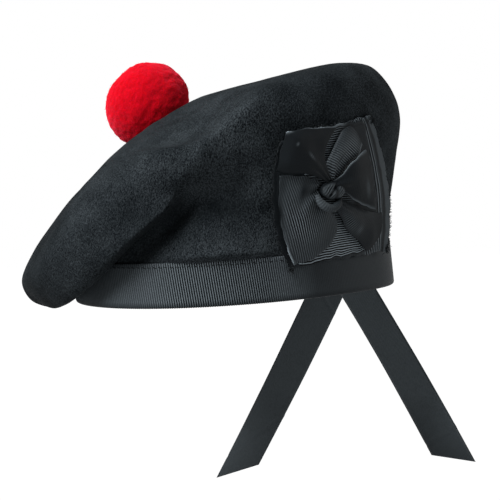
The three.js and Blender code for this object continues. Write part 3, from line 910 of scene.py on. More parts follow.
def grain_group():
    """Matted fibres: fine grain, short lying hairs and slow changes of tone."""
    group, start, end = new_group("fibre_grain", {"Scale": 900.0, "Patches": 60.0}, ("Tone", "Height"))
    place = group.nodes.new("ShaderNodeTexCoord").outputs["Object"]
    fine = noise_node(group, place, start.outputs["Scale"], GRAIN["detail"])
    stretch = group.nodes.new("ShaderNodeMapping")
    stretch.inputs["Scale"].default_value = GRAIN["stretch"]
    stretch.inputs["Rotation"].default_value = GRAIN["turn"]
    group.links.new(place, stretch.inputs["Vector"])
    hairs = noise_node(group, stretch.outputs["Vector"], start.outputs["Scale"], GRAIN["detail"])
    patches = noise_node(group, place, start.outputs["Patches"], GRAIN["patch_detail"])
    grain = weighted_sum(group, (fine, 1 - GRAIN["hairs"]), (hairs, GRAIN["hairs"]))
    tone = weighted_sum(group, (grain, 1 - GRAIN["patches"]), (patches, GRAIN["patches"]))
    sharp = between(group, tone, GRAIN["ends"], False)
    group.links.new(calculate(group, "POWER", sharp, GRAIN["curve"]), end.inputs["Tone"])
    group.links.new(grain, end.inputs["Height"])
    return group


def weave_group():
    """Ribbed weave of a ribbon: grooves between the ribs, where the colour is painted as shade, and the fine
    threads along them.
    """
    group, start, end = new_group("rib_weave", {"Pitch": 1.5 * MM, "Threads": 0.45 * MM}, ("Rib", "Height"))
    along, across, ribbed = (mark_value(group, mark) for mark in ("along", "across", "ribbed"))
    turn = calculate(group, "MULTIPLY", calculate(group, "DIVIDE", along, start.outputs["Pitch"]), math.pi)
    wave = calculate(group, "ABSOLUTE", calculate(group, "SINE", turn))
    # Painted shade: the colour is darkened in the grooves between the ribs
    ridge = between(group, wave, RIB_ENDS, True)
    dip = calculate(group, "MULTIPLY", calculate(group, "SUBTRACT", 1.0, ridge), ribbed)
    group.links.new(calculate(group, "SUBTRACT", 1.0, dip), end.inputs["Rib"])
    step = calculate(group, "MULTIPLY", calculate(group, "DIVIDE", across, start.outputs["Threads"]), math.pi)
    thread = calculate(group, "ABSOLUTE", calculate(group, "SINE", step))
    group.links.new(weighted_sum(group, (thread, THREAD_HEIGHT), (wave, ribbed)), end.inputs["Height"])
    return group


def mark_value(tree, mark):
    """Value that a piece's corners carry, read in a shader."""
    node = tree.nodes.new("ShaderNodeAttribute")
    node.attribute_name = mark
    return node.outputs["Fac"]


def new_material(name, roughness, specular, sheen=0.0):
    """Node material with a plain shader; returns it with its tree and shader."""
    material = bpy.data.materials.new(name)
    material.use_nodes = True
    tree = material.node_tree
    shader = tree.nodes["Principled BSDF"]
    shader.inputs["Roughness"].default_value = roughness
    shader.inputs["Sheen Weight"].default_value = sheen
    shader.inputs["Sheen Roughness"].default_value = 0.5
    shader.inputs["Specular IOR Level"].default_value = specular
    return material, tree, shader


def use_group(tree, group, **values):
    """A shader group placed in a material with its own values."""
    node = tree.nodes.new("ShaderNodeGroup")
    node.node_tree = group
    for label, value in values.items():
        node.inputs[label].default_value = value
    return node


def blend_colours(tree, share, first, second):
    """Colour between two colours."""
    node = tree.nodes.new("ShaderNodeMix")
    node.data_type = "RGBA"
    ends = [socket for socket in node.inputs if socket.type == "RGBA"]
    for socket, value in zip(ends, (first, second)):
        if isinstance(value, bpy.types.NodeSocket):
            tree.links.new(value, socket)
        else:
            socket.default_value = value
    tree.links.new(share, node.inputs["Factor"])
    return next(out for out in node.outputs if out.type == "RGBA")


def raise_surface(tree, shader, height, distance, strength):
    """Bump on a shader from a height."""
    bump = tree.nodes.new("ShaderNodeBump")
    bump.inputs["Distance"].default_value = distance
    bump.inputs["Strength"].default_value = strength
    tree.links.new(height, bump.inputs["Height"])
    tree.links.new(bump.outputs["Normal"], shader.inputs["Normal"])


def colours():
    """The colours that the user set."""
    return bpy.context.scene.bonnet_colours


def sizes():
    """The sizes that the user set."""
    return bpy.context.scene.bonnet_sizes


def felt_material():
    """Matt felt with a short mottled pile, its fibre tone raised and lowered in patches as painted light and
    painted shade.
    """
    material, tree, shader = new_material("felt", roughness=0.95, specular=0.04)
    grain = use_group(tree, once(grain_group), Scale=1550.0, Patches=60.0)
    # Fibre tone, scaled by the patches of painted light and painted shade
    nap_and_painted_light = calculate(tree, "MULTIPLY", grain.outputs["Tone"], mark_value(tree, "nap_and_painted_light"))
    tint = blend_colours(tree, nap_and_painted_light, colours().felt, colours().felt_light)
    tree.links.new(tint, shader.inputs["Base Color"])
    raise_surface(tree, shader, grain.outputs["Height"], distance=1.2 * MM, strength=0.8)
    return material


def woven_material(name, top, pitch):
    """Woven ribbon: grooves painted as shade between worn ribs, and the smooth black side where it is marked,
    which also carries painted highlights and painted shade.
    """
    finish = WOVEN[name]
    material, tree, shader = new_material(name, finish["rough"], finish["specular"])
    weave = use_group(tree, once(weave_group), Pitch=pitch)
    grain = use_group(tree, once(grain_group), Scale=finish["grain"], Patches=finish["patches"])
    # Painted shade: the grooves between the ribs are coloured far darker than the rib tops
    tint = blend_colours(tree, weave.outputs["Rib"], colours().groove_shade_and_dark_tone, top)
    wear = calculate(tree, "MULTIPLY", grain.outputs["Tone"], finish["wear"])
    worn = blend_colours(tree, wear, tint, colours().groove_shade_and_dark_tone)
    # Share of the smooth black side; on the petals and ties it also carries painted highlights and painted
    # shade
    turned = blend_colours(tree, mark_value(tree, "dark_and_painted_light"), worn, colours().smooth)
    tree.links.new(turned, shader.inputs["Base Color"])
    depth, strength = finish["bump"]
    raise_surface(tree, shader, weave.outputs["Height"], depth * MM, strength)
    return material


def ribbon_material():
    """Ribbed black ribbon with a low sheen on the ribs."""
    return woven_material("ribbon", colours().ribbon, sizes().rib_pitch)


def tie_material():
    """Smooth ribbon of the ties, with faint ribs and rubbed patches."""
    return woven_material("tie", colours().tie, sizes().tie_rib_pitch)


def thread_material():
    """Loose black thread."""
    material, tree, shader = new_material("thread", roughness=0.8, specular=0.05)
    grain = use_group(tree, once(grain_group), Scale=2500.0, Patches=300.0)
    tint = blend_colours(tree, grain.outputs["Tone"], colours().groove_shade_and_dark_tone, colours().thread)
    tree.links.new(tint, shader.inputs["Base Color"])
    return material


def wool_material():
    """Scarlet wool, deeper in the gaps of the pile."""
    material, tree, shader = new_material("wool", roughness=0.95, specular=0.02, sheen=0.3)
    shader.inputs["Sheen Tint"].default_value = (1.0, 0.08, 0.14, 1)
    shader.inputs["Subsurface Weight"].default_value = 0.75
    shader.inputs["Subsurface Radius"].default_value = (1.0, 0.2, 0.25)
    shader.inputs["Subsurface Scale"].default_value = 14 * MM
    grain = use_group(tree, once(grain_group), Scale=1400.0, Patches=220.0)
    tint = blend_colours(tree, grain.outputs["Tone"], colours().wool_deep, colours().wool)
    tree.links.new(tint, shader.inputs["Base Color"])
    raise_surface(tree, shader, grain.outputs["Height"], distance=0.9 * MM, strength=0.7)
    return material


def settle(piece, nodes=(), material=None):
    """Gives a finished piece its material and body, and hides the frame's parts that it stands for."""
    if material is not None:
        piece.data.materials.clear()
        piece.data.materials.append(material)
    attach(piece, "root")
    if nodes:
        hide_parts(*nodes)
    return piece


def raise_ribs(piece):
    """Raises the ribs of a ribbon and gives it its material."""
    rib = {"Pitch": sizes().rib_pitch, "Height": sizes().rib_height}
    return grow(piece, once(rib_tree), **rib, Material=once(ribbon_material))


def lay_threads(name, points, ways, thread_length, strand):
    """Piece made of threads that lie at points, each along its way."""
    piece = make_piece(name, points, [], {"way": ways})
    grow(piece, once(thread_tree), Length=thread_length, **strand, Material=once(thread_material))
    return settle(piece)


# Pieces


def line_distance(places, points):
    """Way to places from the nearest spot of a line of points, and the value that the points carry there."""
    nearest = np.full(places.shape, np.inf)
    carried = np.zeros(len(places))
    for here, there in zip(points, points[1:]):
        step = there[:3] - here[:3]
        share = np.clip((places - here[:3]) @ step / (step @ step), 0, 1)
        away = places - here[:3] - share[:, None] * step
        closer = np.linalg.norm(away, axis=1) < np.linalg.norm(nearest, axis=1)
        nearest[closer] = away[closer]
        carried[closer] = (here[3] + (there[3] - here[3]) * share)[closer]
    return nearest, carried


class BONNET_OT_felt_crown(bpy.types.Operator):
    """Soft felt crown, smoothed from its frame and given the unevenness of worn felt"""

    bl_idname = "bonnet.felt_crown"
    bl_label = "Felt Crown"

    # Sizes and shares of the swells, folds along which the mesh is divided with the reach, steps along
    # a fold, and where the felt starts to fold freely: height, and share of the hem's oval
    SWELLS = ((26, 1.0), (9, 0.3))
    REFINED = {"lobe_edge": 13, "wall_low": 7}
    FOLD_STEPS = 60
    FREE = {"above": 25.05, "rise": 0.8, "outside": 1.05, "beyond": 0.06}

    def execute(self, context):
        """Makes the crown."""
        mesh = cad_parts["crown"].data.copy()
        mesh.name = "crown_felt"
        shape = bmesh.new()
        shape.from_mesh(mesh)
        bmesh.ops.remove_doubles(shape, verts=shape.verts, dist=0.001 * MM)
        bmesh.ops.join_triangles(
            shape, faces=shape.faces, angle_face_threshold=1.0, angle_shape_threshold=3.1
        )
        shape.to_mesh(mesh)
        shape.free()
        piece = bpy.data.objects.new("crown_felt", mesh)
        context.scene.collection.objects.link(piece)
        smooth = piece.modifiers.new("smooth", "SUBSURF")
        smooth.levels = smooth.render_levels = 2
        plain_mesh(piece)
        for fold, reach in self.REFINED.items():
            self.refine(piece.data, CROWN_FOLDS[fold]["points"], reach)
        places, normals = (read_corners(piece.data, key) for key in ("co", "normal"))
        swell = sum(share * noise_at(places, size * MM) for size, share in self.SWELLS)
        places = places + normals * (sizes().felt_swell * swell)[:, None]
        for fold in CROWN_FOLDS.values():
            away, height = line_distance(places / MM, smooth_line(fold["points"], self.FOLD_STEPS))
            far = np.hypot(np.linalg.norm(away, axis=1), fold["round"]) - fold["round"]
            past = away @ np.array(fold.get("steep", (0, 0, 0))) > 0
            reach = np.where(past, fold.get("beyond", fold["width"]), fold["width"])
            moved = height * np.clip(1 - far / reach, 0, 1) ** 2 * self.freedom(places)
            places = places + moved[:, None] * np.array(fold["push"]) * MM
        piece.data.vertices.foreach_set("co", places.ravel())
        piece.data.update()
        # Painted light and painted shade: patches that lighten or darken the felt's fibre tone
        nap_and_painted_light = np.ones(len(places))
        for *spot, reach, change in CROWN_PAINTED_LIGHT:
            nap_and_painted_light += change * np.exp(-((np.linalg.norm(places / MM - spot, axis=1) / reach) ** 2))
        piece.data.attributes.new("nap_and_painted_light", "FLOAT", "POINT").data.foreach_set("value", nap_and_painted_light)
        settle(piece, ["crown"], once(felt_material))
        return {"FINISHED"}

    def refine(self, mesh, points, reach):
        """Divides the faces of a mesh near a line of points."""
        away, _ = line_distance(read_corners(mesh, "co") / MM, smooth_line(points, self.FOLD_STEPS))
        near = np.linalg.norm(away, axis=1) < reach
        shape = bmesh.new()
        shape.from_mesh(mesh)
        edges = [edge for edge in shape.edges if all(near[corner.index] for corner in edge.verts)]
        bmesh.ops.subdivide_edges(shape, edges=edges, cuts=1, use_grid_fill=True)
        shape.to_mesh(mesh)
        shape.free()
        mesh.shade_smooth()

    def freedom(self, places):
        """How freely the felt folds: not under the band, and fully from some way above or outside it."""
        above = (places[:, 2] / MM - self.FREE["above"]) / self.FREE["rise"]
        share = np.hypot(places[:, 0] / HALF_WIDTH, places[:, 1] / HALF_LENGTH) / MM
        outside = (share - self.FREE["outside"]) / self.FREE["beyond"]
        return np.clip(np.maximum(above, outside), 0, 1)


class BONNET_OT_ribbon_band(bpy.types.Operator):
    """Ribbed ribbon folded round the hem, with its row of stitches"""

    bl_idname = "bonnet.ribbon_band"
    bl_label = "Ribbon Band"
    STEPS_PER_RIB = 4
    SLANT = 0.12
    FLAT = (0.041, 0.59)

    # Stitches, the droop at the back, how rubbed and how soft the ribs are by the turn, the darker strip at
    # the lower edge, and what these do to the shine and height of the ribs
    STITCH_LENGTH = 1.9
    STITCH_ROW = {"out": 1.3, "up": 22.9, "ahead": 0.3, "drop": 0.12}
    SAG = {"turn": 140, "width": 40, "down": 2.6, "out": 1.6, "top": 25}
    RUBBED = ((0, 58, 76, 130, 160, 360), (0, 0, 1, 1, 0, 0))
    SOFT = ((0, 12, 28, 335, 350, 360), (0.5, 0.4, 0, 0, 0.5, 0.5))
    LOW = {"share": 0.75, "up": 3.5, "reach": 3}
    SHINE = {"ribs": 0.47, "rubbed": 0.39, "soft": 1.2}
    RUBBED_FLAT = 0.8

    def execute(self, context):
        """Makes the band and its stitches."""
        _, around = even_turns(2)
        ribs = round(around * MM / sizes().rib_pitch)
        turns, around = even_turns(ribs * self.STEPS_PER_RIB)
        out, up, ribbed = self.outline()
        sag = np.exp(-(((turns - self.SAG["turn"]) / self.SAG["width"]) ** 2))[:, None]
        sag = sag * (1 - up / self.SAG["top"])[None]
        lower = up[None] - self.SAG["down"] * sag
        points = oval_point(turns[:, None], out[None] + self.SAG["out"] * sag, lower)
        share = np.arange(len(turns)) / len(turns)
        along = share[:, None] * ribs * sizes().rib_pitch + self.SLANT * up[None] * MM
        faces = grid_faces(len(turns), len(out), wrap_rows=True, wrap_columns=True)
        rubbed = np.interp(turns, *self.RUBBED)[:, None]
        soft = np.interp(turns, *self.SOFT)[:, None]
        low = self.LOW["share"] * np.clip((self.LOW["up"] - up) / self.LOW["reach"], 0, 1)[None]
        shine = (self.SHINE["ribs"] - self.SHINE["rubbed"] * rubbed) * (1 - low)
        marks = {
            "along": along.ravel(),
            "across": np.broadcast_to(up * MM, along.shape).ravel(),
            "ribbed": (ribbed[None] * (1 - self.RUBBED_FLAT * rubbed) * (1 - soft)).ravel(),
            "dark_and_painted_light": (1 - shine * (1 - self.SHINE["soft"] * soft)).ravel(),
        }
        band = raise_ribs(make_piece("band_ribbon", points * MM, faces, marks))
        settle(band, ["band"])
        self.stitches(around)
        return {"FINISHED"}

    def outline(self):
        """Corners of the band's outline, with steps between them."""
        parts = []
        for here, there in zip(BAND_OUTLINE, BAND_OUTLINE[1:] + BAND_OUTLINE[:1]):
            share = np.arange(here["steps"]) / here["steps"]
            parts.append([here[key] + (there[key] - here[key]) * share for key in ("out", "up", "ribbed")])
        return (np.concatenate(column) for column in zip(*parts))

    def stitches(self, around):
        """Row of stitches just under the upper edge of the band."""
        turns, _ = even_turns(round(around * MM / sizes().stitch_step))
        row = self.STITCH_ROW
        points = oval_point(turns, row["out"], row["up"]) * MM
        way = oval_point(turns + row["ahead"], row["out"], row["up"] - row["drop"]) * MM - points
        way /= np.linalg.norm(way, axis=1, keepdims=True)
        lay_threads("band_stitches", points, way, self.STITCH_LENGTH * MM, STITCH)


class BONNET_OT_cockade(bpy.types.Operator):
    """Two crossed backing ribbons of the cockade, with their frayed edges"""

    bl_idname = "bonnet.cockade"
    bl_label = "Cockade"
    FLAT = {"cockade_across": (0.08, 0.088), "cockade_upright": (0.055, 0.077)}
    STEPS_PER_RIB = 4
    ACROSS_STEPS = 40

    # Ripples of the cloth, unevenness of its edges, the plain part on one side, and the loose threads
    RIPPLE = {"high": 0.25, "size": 11}
    WANDER = {"reach": 1.6, "size": 6}
    PLAIN = {"side": 0.2, "steep": 5, "end": 0.75, "end_steep": 20}
    FRAY_COUNTS = (160, 600, 120)
    FRAY_SEATED = 0.3
    TUFTS = ((28.5, 39.5), (31, 37.5), (49, -38), (-30.5, -42))
    TUFT = {"count": 50, "spread": (1.3, 1.3, 0.39), "out": 1.8, "seed": 5}

    # How close the ribs are, and how ribbed, dark and plain each ribbon is along its length
    WEAVE = {
        "cockade_across": {
            "closeness": 0.48,
            "ribbed": ((0, 0.77, 0.8, 0.93, 0.94, 1), (0.2, 0.2, 1, 1, 0, 0)),
            "dark_and_painted_light": (
                (0, 0.1, 0.77, 0.8, 0.93, 0.94, 0.955, 0.965, 1),
                (1, 0.95, 0.95, 0.55, 0.55, 1, 1, 0.8, 0.78),
            ),
            "plain": 0.0,
        },
        "cockade_upright": {
            "closeness": 1.0,
            "ribbed": ((0, 0.012, 0.02, 1), (0, 0, 1, 1)),
            "dark_and_painted_light": ((0, 0.012, 0.02, 0.03, 0.7, 0.8, 1), (0.55, 0.55, 1, 0.5, 0.5, 0, 0)),
            "plain": 0.95,
        },
    }

    def execute(self, context):
        """Makes the backing ribbons and the loose threads."""
        edges = []
        for node, rows in BACKING_ROWS.items():
            grid = bowed_rows(rows, steps_along(rows, self.STEPS_PER_RIB), self.ACROSS_STEPS)
            grid[..., 2] += self.RIPPLE["high"] * noise_at(grid, self.RIPPLE["size"])
            grid = wander(grid, **self.WANDER)
            ribbed, dark_and_painted_light = self.weave(node, len(grid))
            points = seat_point(grid)
            weft = np.repeat(travelled(points, 0)[:, None], self.ACROSS_STEPS, 1)
            weft = weft * self.WEAVE[node]["closeness"]
            sheet = make_sheet(node + "_ribbon", points, BACKING_THICK * MM, ribbed, weft, dark_and_painted_light)
            settle(raise_ribs(sheet), [node])
            edges += self.edges(grid, node)
        self.fray(edges)
        return {"FINISHED"}

    def weave(self, node, steps):
        """How ribbed and how dark a backing ribbon is over its grid, with its plain part."""
        share = np.linspace(0, 1, steps)[:, None]
        side = np.linspace(-1, 1, self.ACROSS_STEPS)[None]
        ribbed, dark_and_painted_light = (np.interp(share, *self.WEAVE[node][key]) for key in ("ribbed", "dark_and_painted_light"))
        plain = np.clip((side - self.PLAIN["side"]) * self.PLAIN["steep"], 0, 1) * self.WEAVE[node]["plain"]
        plain = plain * np.clip((self.PLAIN["end"] - share) * self.PLAIN["end_steep"], 0, 1)
        return ribbed * (1 - plain), dark_and_painted_light + (1 - dark_and_painted_light) * plain

    def edges(self, grid, node):
        """Edges that are cut and frayed: each a line of places with the places just inside them."""
        if node == "cockade_across":
            return [(grid[0], grid[3]), (grid[-1], grid[-4])]
        return [(grid[0], grid[3])]

    def fray(self, edges):
        """Loose threads that stand out of the cut edges."""
        points, ways = [], []
        for (edge, inside), count in zip(edges, self.FRAY_COUNTS):
            place = np.linspace(0, len(edge) - 1, count)
            rim = np.stack([np.interp(place, np.arange(len(edge)), edge[:, k]) for k in range(3)], -1)
            deep = np.stack([np.interp(place, np.arange(len(edge)), inside[:, k]) for k in range(3)], -1)
            outer, inner = seat_point(rim), seat_point(deep)
            way = outer - inner
            points.append(outer - way * self.FRAY_SEATED)
            ways.append(way / np.linalg.norm(way, axis=1, keepdims=True))
        scatter = np.random.default_rng(self.TUFT["seed"])
        for back, up in self.TUFTS:
            spread = scatter.normal(0, 1, (self.TUFT["count"], 3)) * self.TUFT["spread"]
            points.append(seat_point(spread + (back, up, self.TUFT["out"])))
            ways.append(scatter.normal(0, 1, (self.TUFT["count"], 3)))
        ways = np.concatenate(ways)
        lay_threads("cockade_fray", np.concatenate(points), ways, sizes().fray_length, FRAY)


class BONNET_OT_bow(bpy.types.Operator):
    """Ribbon petals of the bow, pleated where they meet the knot"""

    bl_idname = "bonnet.bow"
    bl_label = "Bow Petals"
    STEPS_PER_RIB = 5
    ACROSS_STEPS = 48
    CRUMPLE_SIZE = 9
    ROLL = {"start": 0.651, "reach": 0.35}
    WANDER = {"reach": 1.1, "size": 6}
    AREA_SHARE = 0.8

    def execute(self, context):
        """Makes the petals."""
        for node, rows in PETAL_ROWS.items():
            finish = PETAL_FINISH[node]
            steps = steps_along(rows, self.STEPS_PER_RIB)
            grid = bowed_rows(rows, steps, self.ACROSS_STEPS)
            u = np.linspace(0, 1, steps)[:, None]
            v = np.linspace(-1, 1, self.ACROSS_STEPS)[None]
            if "corner" in finish:
                grid += finish["corner"] * (u * u)[..., None] * (self.folded(rows, steps) - grid)
            pleats = np.cos(v * math.pi * finish["pleats"]) * (1 - v**2)
            grid[..., 2] += finish["depth"] * (1 - u) ** 2 * pleats
            grid[..., 2] += finish["crumple"] * noise_at(grid, self.CRUMPLE_SIZE) * u
            rolled = np.clip((-v - self.ROLL["start"]) / self.ROLL["reach"], 0, 1) ** 2
            grid[..., 2] -= finish["roll"] * u * rolled
            ribbed, dark_and_painted_light = self.weave(finish, u, v)
            weft = grid[..., :2] @ np.array(finish["weft"]) * MM
            points = seat_point(wander(grid, **self.WANDER))
            petal = make_sheet(node + "_ribbon", points, BACKING_THICK * MM, ribbed, weft, dark_and_painted_light)
            settle(raise_ribs(petal), [node])
        return {"FINISHED"}

    def folded(self, rows, steps):
        """Grid through a table of rows that is straight from each edge to the middle."""
        lines = np.stack([smooth_line([row[key] for row in rows], steps) for key in "amb"], 1)
        v = np.linspace(-1, 1, self.ACROSS_STEPS)[None, :, None]
        first, middle, last = (lines[:, [place]] for place in range(3))
        return middle + np.clip(-v, 0, 1) * (first - middle) + np.clip(v, 0, 1) * (last - middle)

    def weave(self, finish, u, v):
        """How ribbed and how darkened a petal is over its grid, with its patches of painted highlight and
        painted shade.
        """
        levels = []
        for key, place in (("ribbed", 4), ("dark_and_painted_light", 5)):
            level = finish[key][0] + (finish[key][1] - finish[key][0]) * u + 0 * v
            # Patches: mostly painted highlights and painted shade, some changes of weave
            for patch in finish["patches"]:
                near = np.exp(-(((u - patch[0]) / patch[2]) ** 2) - ((v - patch[1]) / patch[3]) ** 2)
                level = level + (patch[place] - level) * near
            levels.append(level)
        return levels


class BONNET_OT_knot(bpy.types.Operator):
    """Wrapped knot of the bow with the roll under it"""

    bl_idname = "bonnet.knot"
    bl_label = "Bow Knot"
    WRAP_STEPS = (40, 72)
    ROLL_STEPS = (64, 16)

    # Opening at the ends of the wrap, how blunt it is, the fold across it, its dents, the way across its
    # ribs, its plain strip and its lit front, and then how ribbed and dark the roll is
    POLE = 0.04
    BLUNT = 0.6
    FOLD = {"east": -0.25, "across": (0.87, -0.5), "width": 0.11, "depth": 0.45}
    DENTS = {"size": 0.55, "depth": 0.2}
    RIB_WAY = (0.8, -0.6)
    PLAIN = {"east": 0.05, "width": 0.24}
    FRONT = {"steep": 1.6, "start": 0.2, "shine": 0.4}
    ROLL_RIBBED = 0.5
    ROLL_DARK = ((0, 0.3, 0.6, 1), (0.8, 0.7, 0.9, 1))

    def execute(self, context):
        """Makes the knot."""
        wrap, wrap_faces, wrap_marks = self.wrap()
        roll, roll_faces, roll_marks = self.roll()
        faces = np.concatenate([wrap_faces, roll_faces + len(wrap)])
        marks = {mark: np.concatenate([wrap_marks[mark], roll_marks[mark]]) for mark in wrap_marks}
        knot = make_piece("bow_knot_ribbon", seat_point(np.concatenate([wrap, roll])), faces, marks)
        settle(knot, ["bow_knot"], once(ribbon_material))
        return {"FINISHED"}

    def wrap(self):
        """Rounded wrap, pressed in along the fold that crosses it."""
        rows, columns = self.WRAP_STEPS
        tilt = np.linspace(self.POLE, math.pi - self.POLE, rows)[:, None]
        turn = np.linspace(0, 2 * math.pi, columns, endpoint=False)[None]
        east, north = np.sin(tilt) * np.cos(turn), np.sin(tilt) * np.sin(turn)
        high = np.broadcast_to(np.cos(tilt), east.shape)
        back = KNOT["back"] + KNOT["half_back"] * east
        up = KNOT["up"] + KNOT["half_up"] * north
        far = self.FOLD["across"][0] * (east - self.FOLD["east"]) + self.FOLD["across"][1] * north
        fold = np.exp(-((far / self.FOLD["width"]) ** 2))
        dents = noise_at(np.stack([east, north, high], -1), self.DENTS["size"])
        swell = 1 - self.FOLD["depth"] * fold + self.DENTS["depth"] * dents
        out = KNOT["out"] + KNOT["half_out"] * np.sign(high) * np.abs(high) ** self.BLUNT * swell
        out = np.maximum(out, KNOT["floor"])
        places = np.stack([back, up, out], -1).reshape(-1, 3)
        plain = np.exp(-(((east - self.PLAIN["east"]) / self.PLAIN["width"]) ** 2))
        ribbed = np.clip(high * self.FRONT["steep"] - self.FRONT["start"], 0, 1) * (1 - plain)
        marks = {
            "along": (self.RIB_WAY[0] * back + self.RIB_WAY[1] * up) * MM,
            "across": up * MM,
            "ribbed": ribbed,
            "dark_and_painted_light": 1 - self.FRONT["shine"] * ribbed,
        }
        return places, closed_tube(rows, columns), {mark: value.ravel() for mark, value in marks.items()}

    def roll(self):
        """Roll of ribbon under the wrap, thin at its ends."""
        rows, columns = self.ROLL_STEPS
        line = smooth_line([[row[key] for key in ("back", "up", "out", "radius")] for row in KNOT_ROLL], rows)
        way = np.gradient(line[:, :3], axis=0)
        way /= np.linalg.norm(way, axis=1, keepdims=True)
        side = np.cross(way, (0, 0, 1))
        side /= np.linalg.norm(side, axis=1, keepdims=True)
        top = np.cross(side, way)
        turn = np.linspace(0, 2 * math.pi, columns, endpoint=False)
        ring = np.cos(turn)[None, :, None] * side[:, None] + np.sin(turn)[None, :, None] * top[:, None]
        places = line[:, None, :3] + ring * line[:, None, 3:]
        dark_and_painted_light = np.interp(np.linspace(0, 1, rows), *self.ROLL_DARK)
        marks = {
            "along": np.repeat(travelled(line[:, None, :3], 0) * MM, columns),
            "across": np.tile(turn * MM, rows),
            "ribbed": np.full(rows * columns, self.ROLL_RIBBED),
            "dark_and_painted_light": np.repeat(dark_and_painted_light, columns),
        }
        return places.reshape(-1, 3), closed_tube(rows, columns), marks


class BONNET_OT_ties(bpy.types.Operator):
    """Two ribbon ties that hang from the back of the band"""

    bl_idname = "bonnet.ties"
    bl_label = "Ribbon Ties"
    STEPS = (260, 16)
    RIBBED = 0.4
    CREASE_WIDTH = 0.008
    # Painted light and shade along each tie, by share of its length: kept light down its upper part, which
    # the crown shades, and painted darker towards its end
    TIE_PAINTED_LIGHT = {
        "tail_left": ((0, 0.15, 0.7, 0.85, 1), (0.3, 0, 0, 0.4, 0.78)),
        "tail_right": ((0, 0.3, 0.6, 0.85, 1), (0.3, 0.2, 0.22, 0.4, 0.68)),
    }

    def execute(self, context):
        """Makes the ties."""
        for node, tie in TIES.items():
            dark_and_painted_light = np.interp(np.linspace(0, 1, self.STEPS[0]), *self.TIE_PAINTED_LIGHT[node])[:, None]
            grid = self.grid(node, tie) * MM
            sheet = make_sheet(node + "_ribbon", grid, TIE_THICK * MM, self.RIBBED, dark_and_painted_light=dark_and_painted_light)
            settle(sheet, [node], once(tie_material))
        return {"FINISHED"}

    def grid(self, node, tie):
        """Points of a tie that leans to one side, with its creases."""
        share = np.linspace(0, 1, self.STEPS[0])[:, None]
        v = np.linspace(-1, 1, self.STEPS[1])[None]
        lean = math.radians(tie["lean"])
        down = np.array([tie["side"] * math.sin(lean), 0, -math.cos(lean)])
        inner = np.array([-tie["side"] * math.cos(lean), 0, -math.sin(lean)])
        out = table_line(TIE_SECTIONS, "out", share)
        twist = np.radians(table_line(TIE_SECTIONS, "twist", share))
        for crease in TIE_CREASES[node]:
            far = (share - crease["along"] - crease["slant"] * v) / self.CREASE_WIDTH
            out = out + crease["height"] * np.exp(-(far**2))
        reach = (tie["outer"] + (tie["inner"] - tie["outer"]) * (v + 1) / 2) * share
        half = v * TIE["width"] / 2
        behind = TIE["behind"] + TIE["layer"] * tie["layer"] + out + half * np.sin(twist)
        start = np.stack(np.broadcast_arrays(float(tie["start"]), behind, float(TIE["top"])), -1)
        return start + reach[..., None] * down + (half * np.cos(twist))[..., None] * inner


class BONNET_OT_pompom(bpy.types.Operator):
    """Ball of cut scarlet wool"""

    bl_idname = "bonnet.pompom"
    bl_label = "Woollen Ball"

    # Share of the radius that is the core, the way the ball is longer and by how much, the slope of the felt
    # under it and its height, and the sizes and heights of the lumps
    CORE = 0.957
    LONG = Vector((0.49, 0.51, 0.705))
    STRETCH = 0.09
    SLOPE = Vector((-0.52, 0, 1)).normalized()
    SEAT_SHARE = -0.78
    SUBDIVISIONS = 6
    LUMPS = ((13.0, 0.45), (4.0, 0.45), (1.8, 0.42))

    def execute(self, context):
        """Makes the ball."""
        low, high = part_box("pompom")
        radius = max(high - low) / 2
        centre = (low + high) / 2
        shape = bmesh.new()
        bmesh.ops.create_icosphere(shape, subdivisions=self.SUBDIVISIONS, radius=radius * self.CORE)
        for corner in shape.verts:
            lump = sum(rise * noise.noise(corner.co / (size * MM)) for size, rise in self.LUMPS)
            corner.co += corner.co.normalized() * lump * MM
            corner.co += self.LONG * self.STRETCH * corner.co.dot(self.LONG)
            under = corner.co.dot(self.SLOPE) - self.SEAT_SHARE * radius
            if under < 0:
                corner.co -= self.SLOPE * under
            corner.co += centre
        mesh = bpy.data.meshes.new("pompom_wool")
        shape.to_mesh(mesh)
        shape.free()
        ball = bpy.data.objects.new("pompom_wool", mesh)
        context.scene.collection.objects.link(ball)
        area = sum(face.area for face in mesh.polygons)
        pile = {"Length": sizes().yarn_length, "Density": sizes().yarn_count / area, **YARN}
        grow(ball, once(yarn_tree), **pile, Material=once(wool_material))
        settle(ball, ["pompom"])
        return {"FINISHED"}


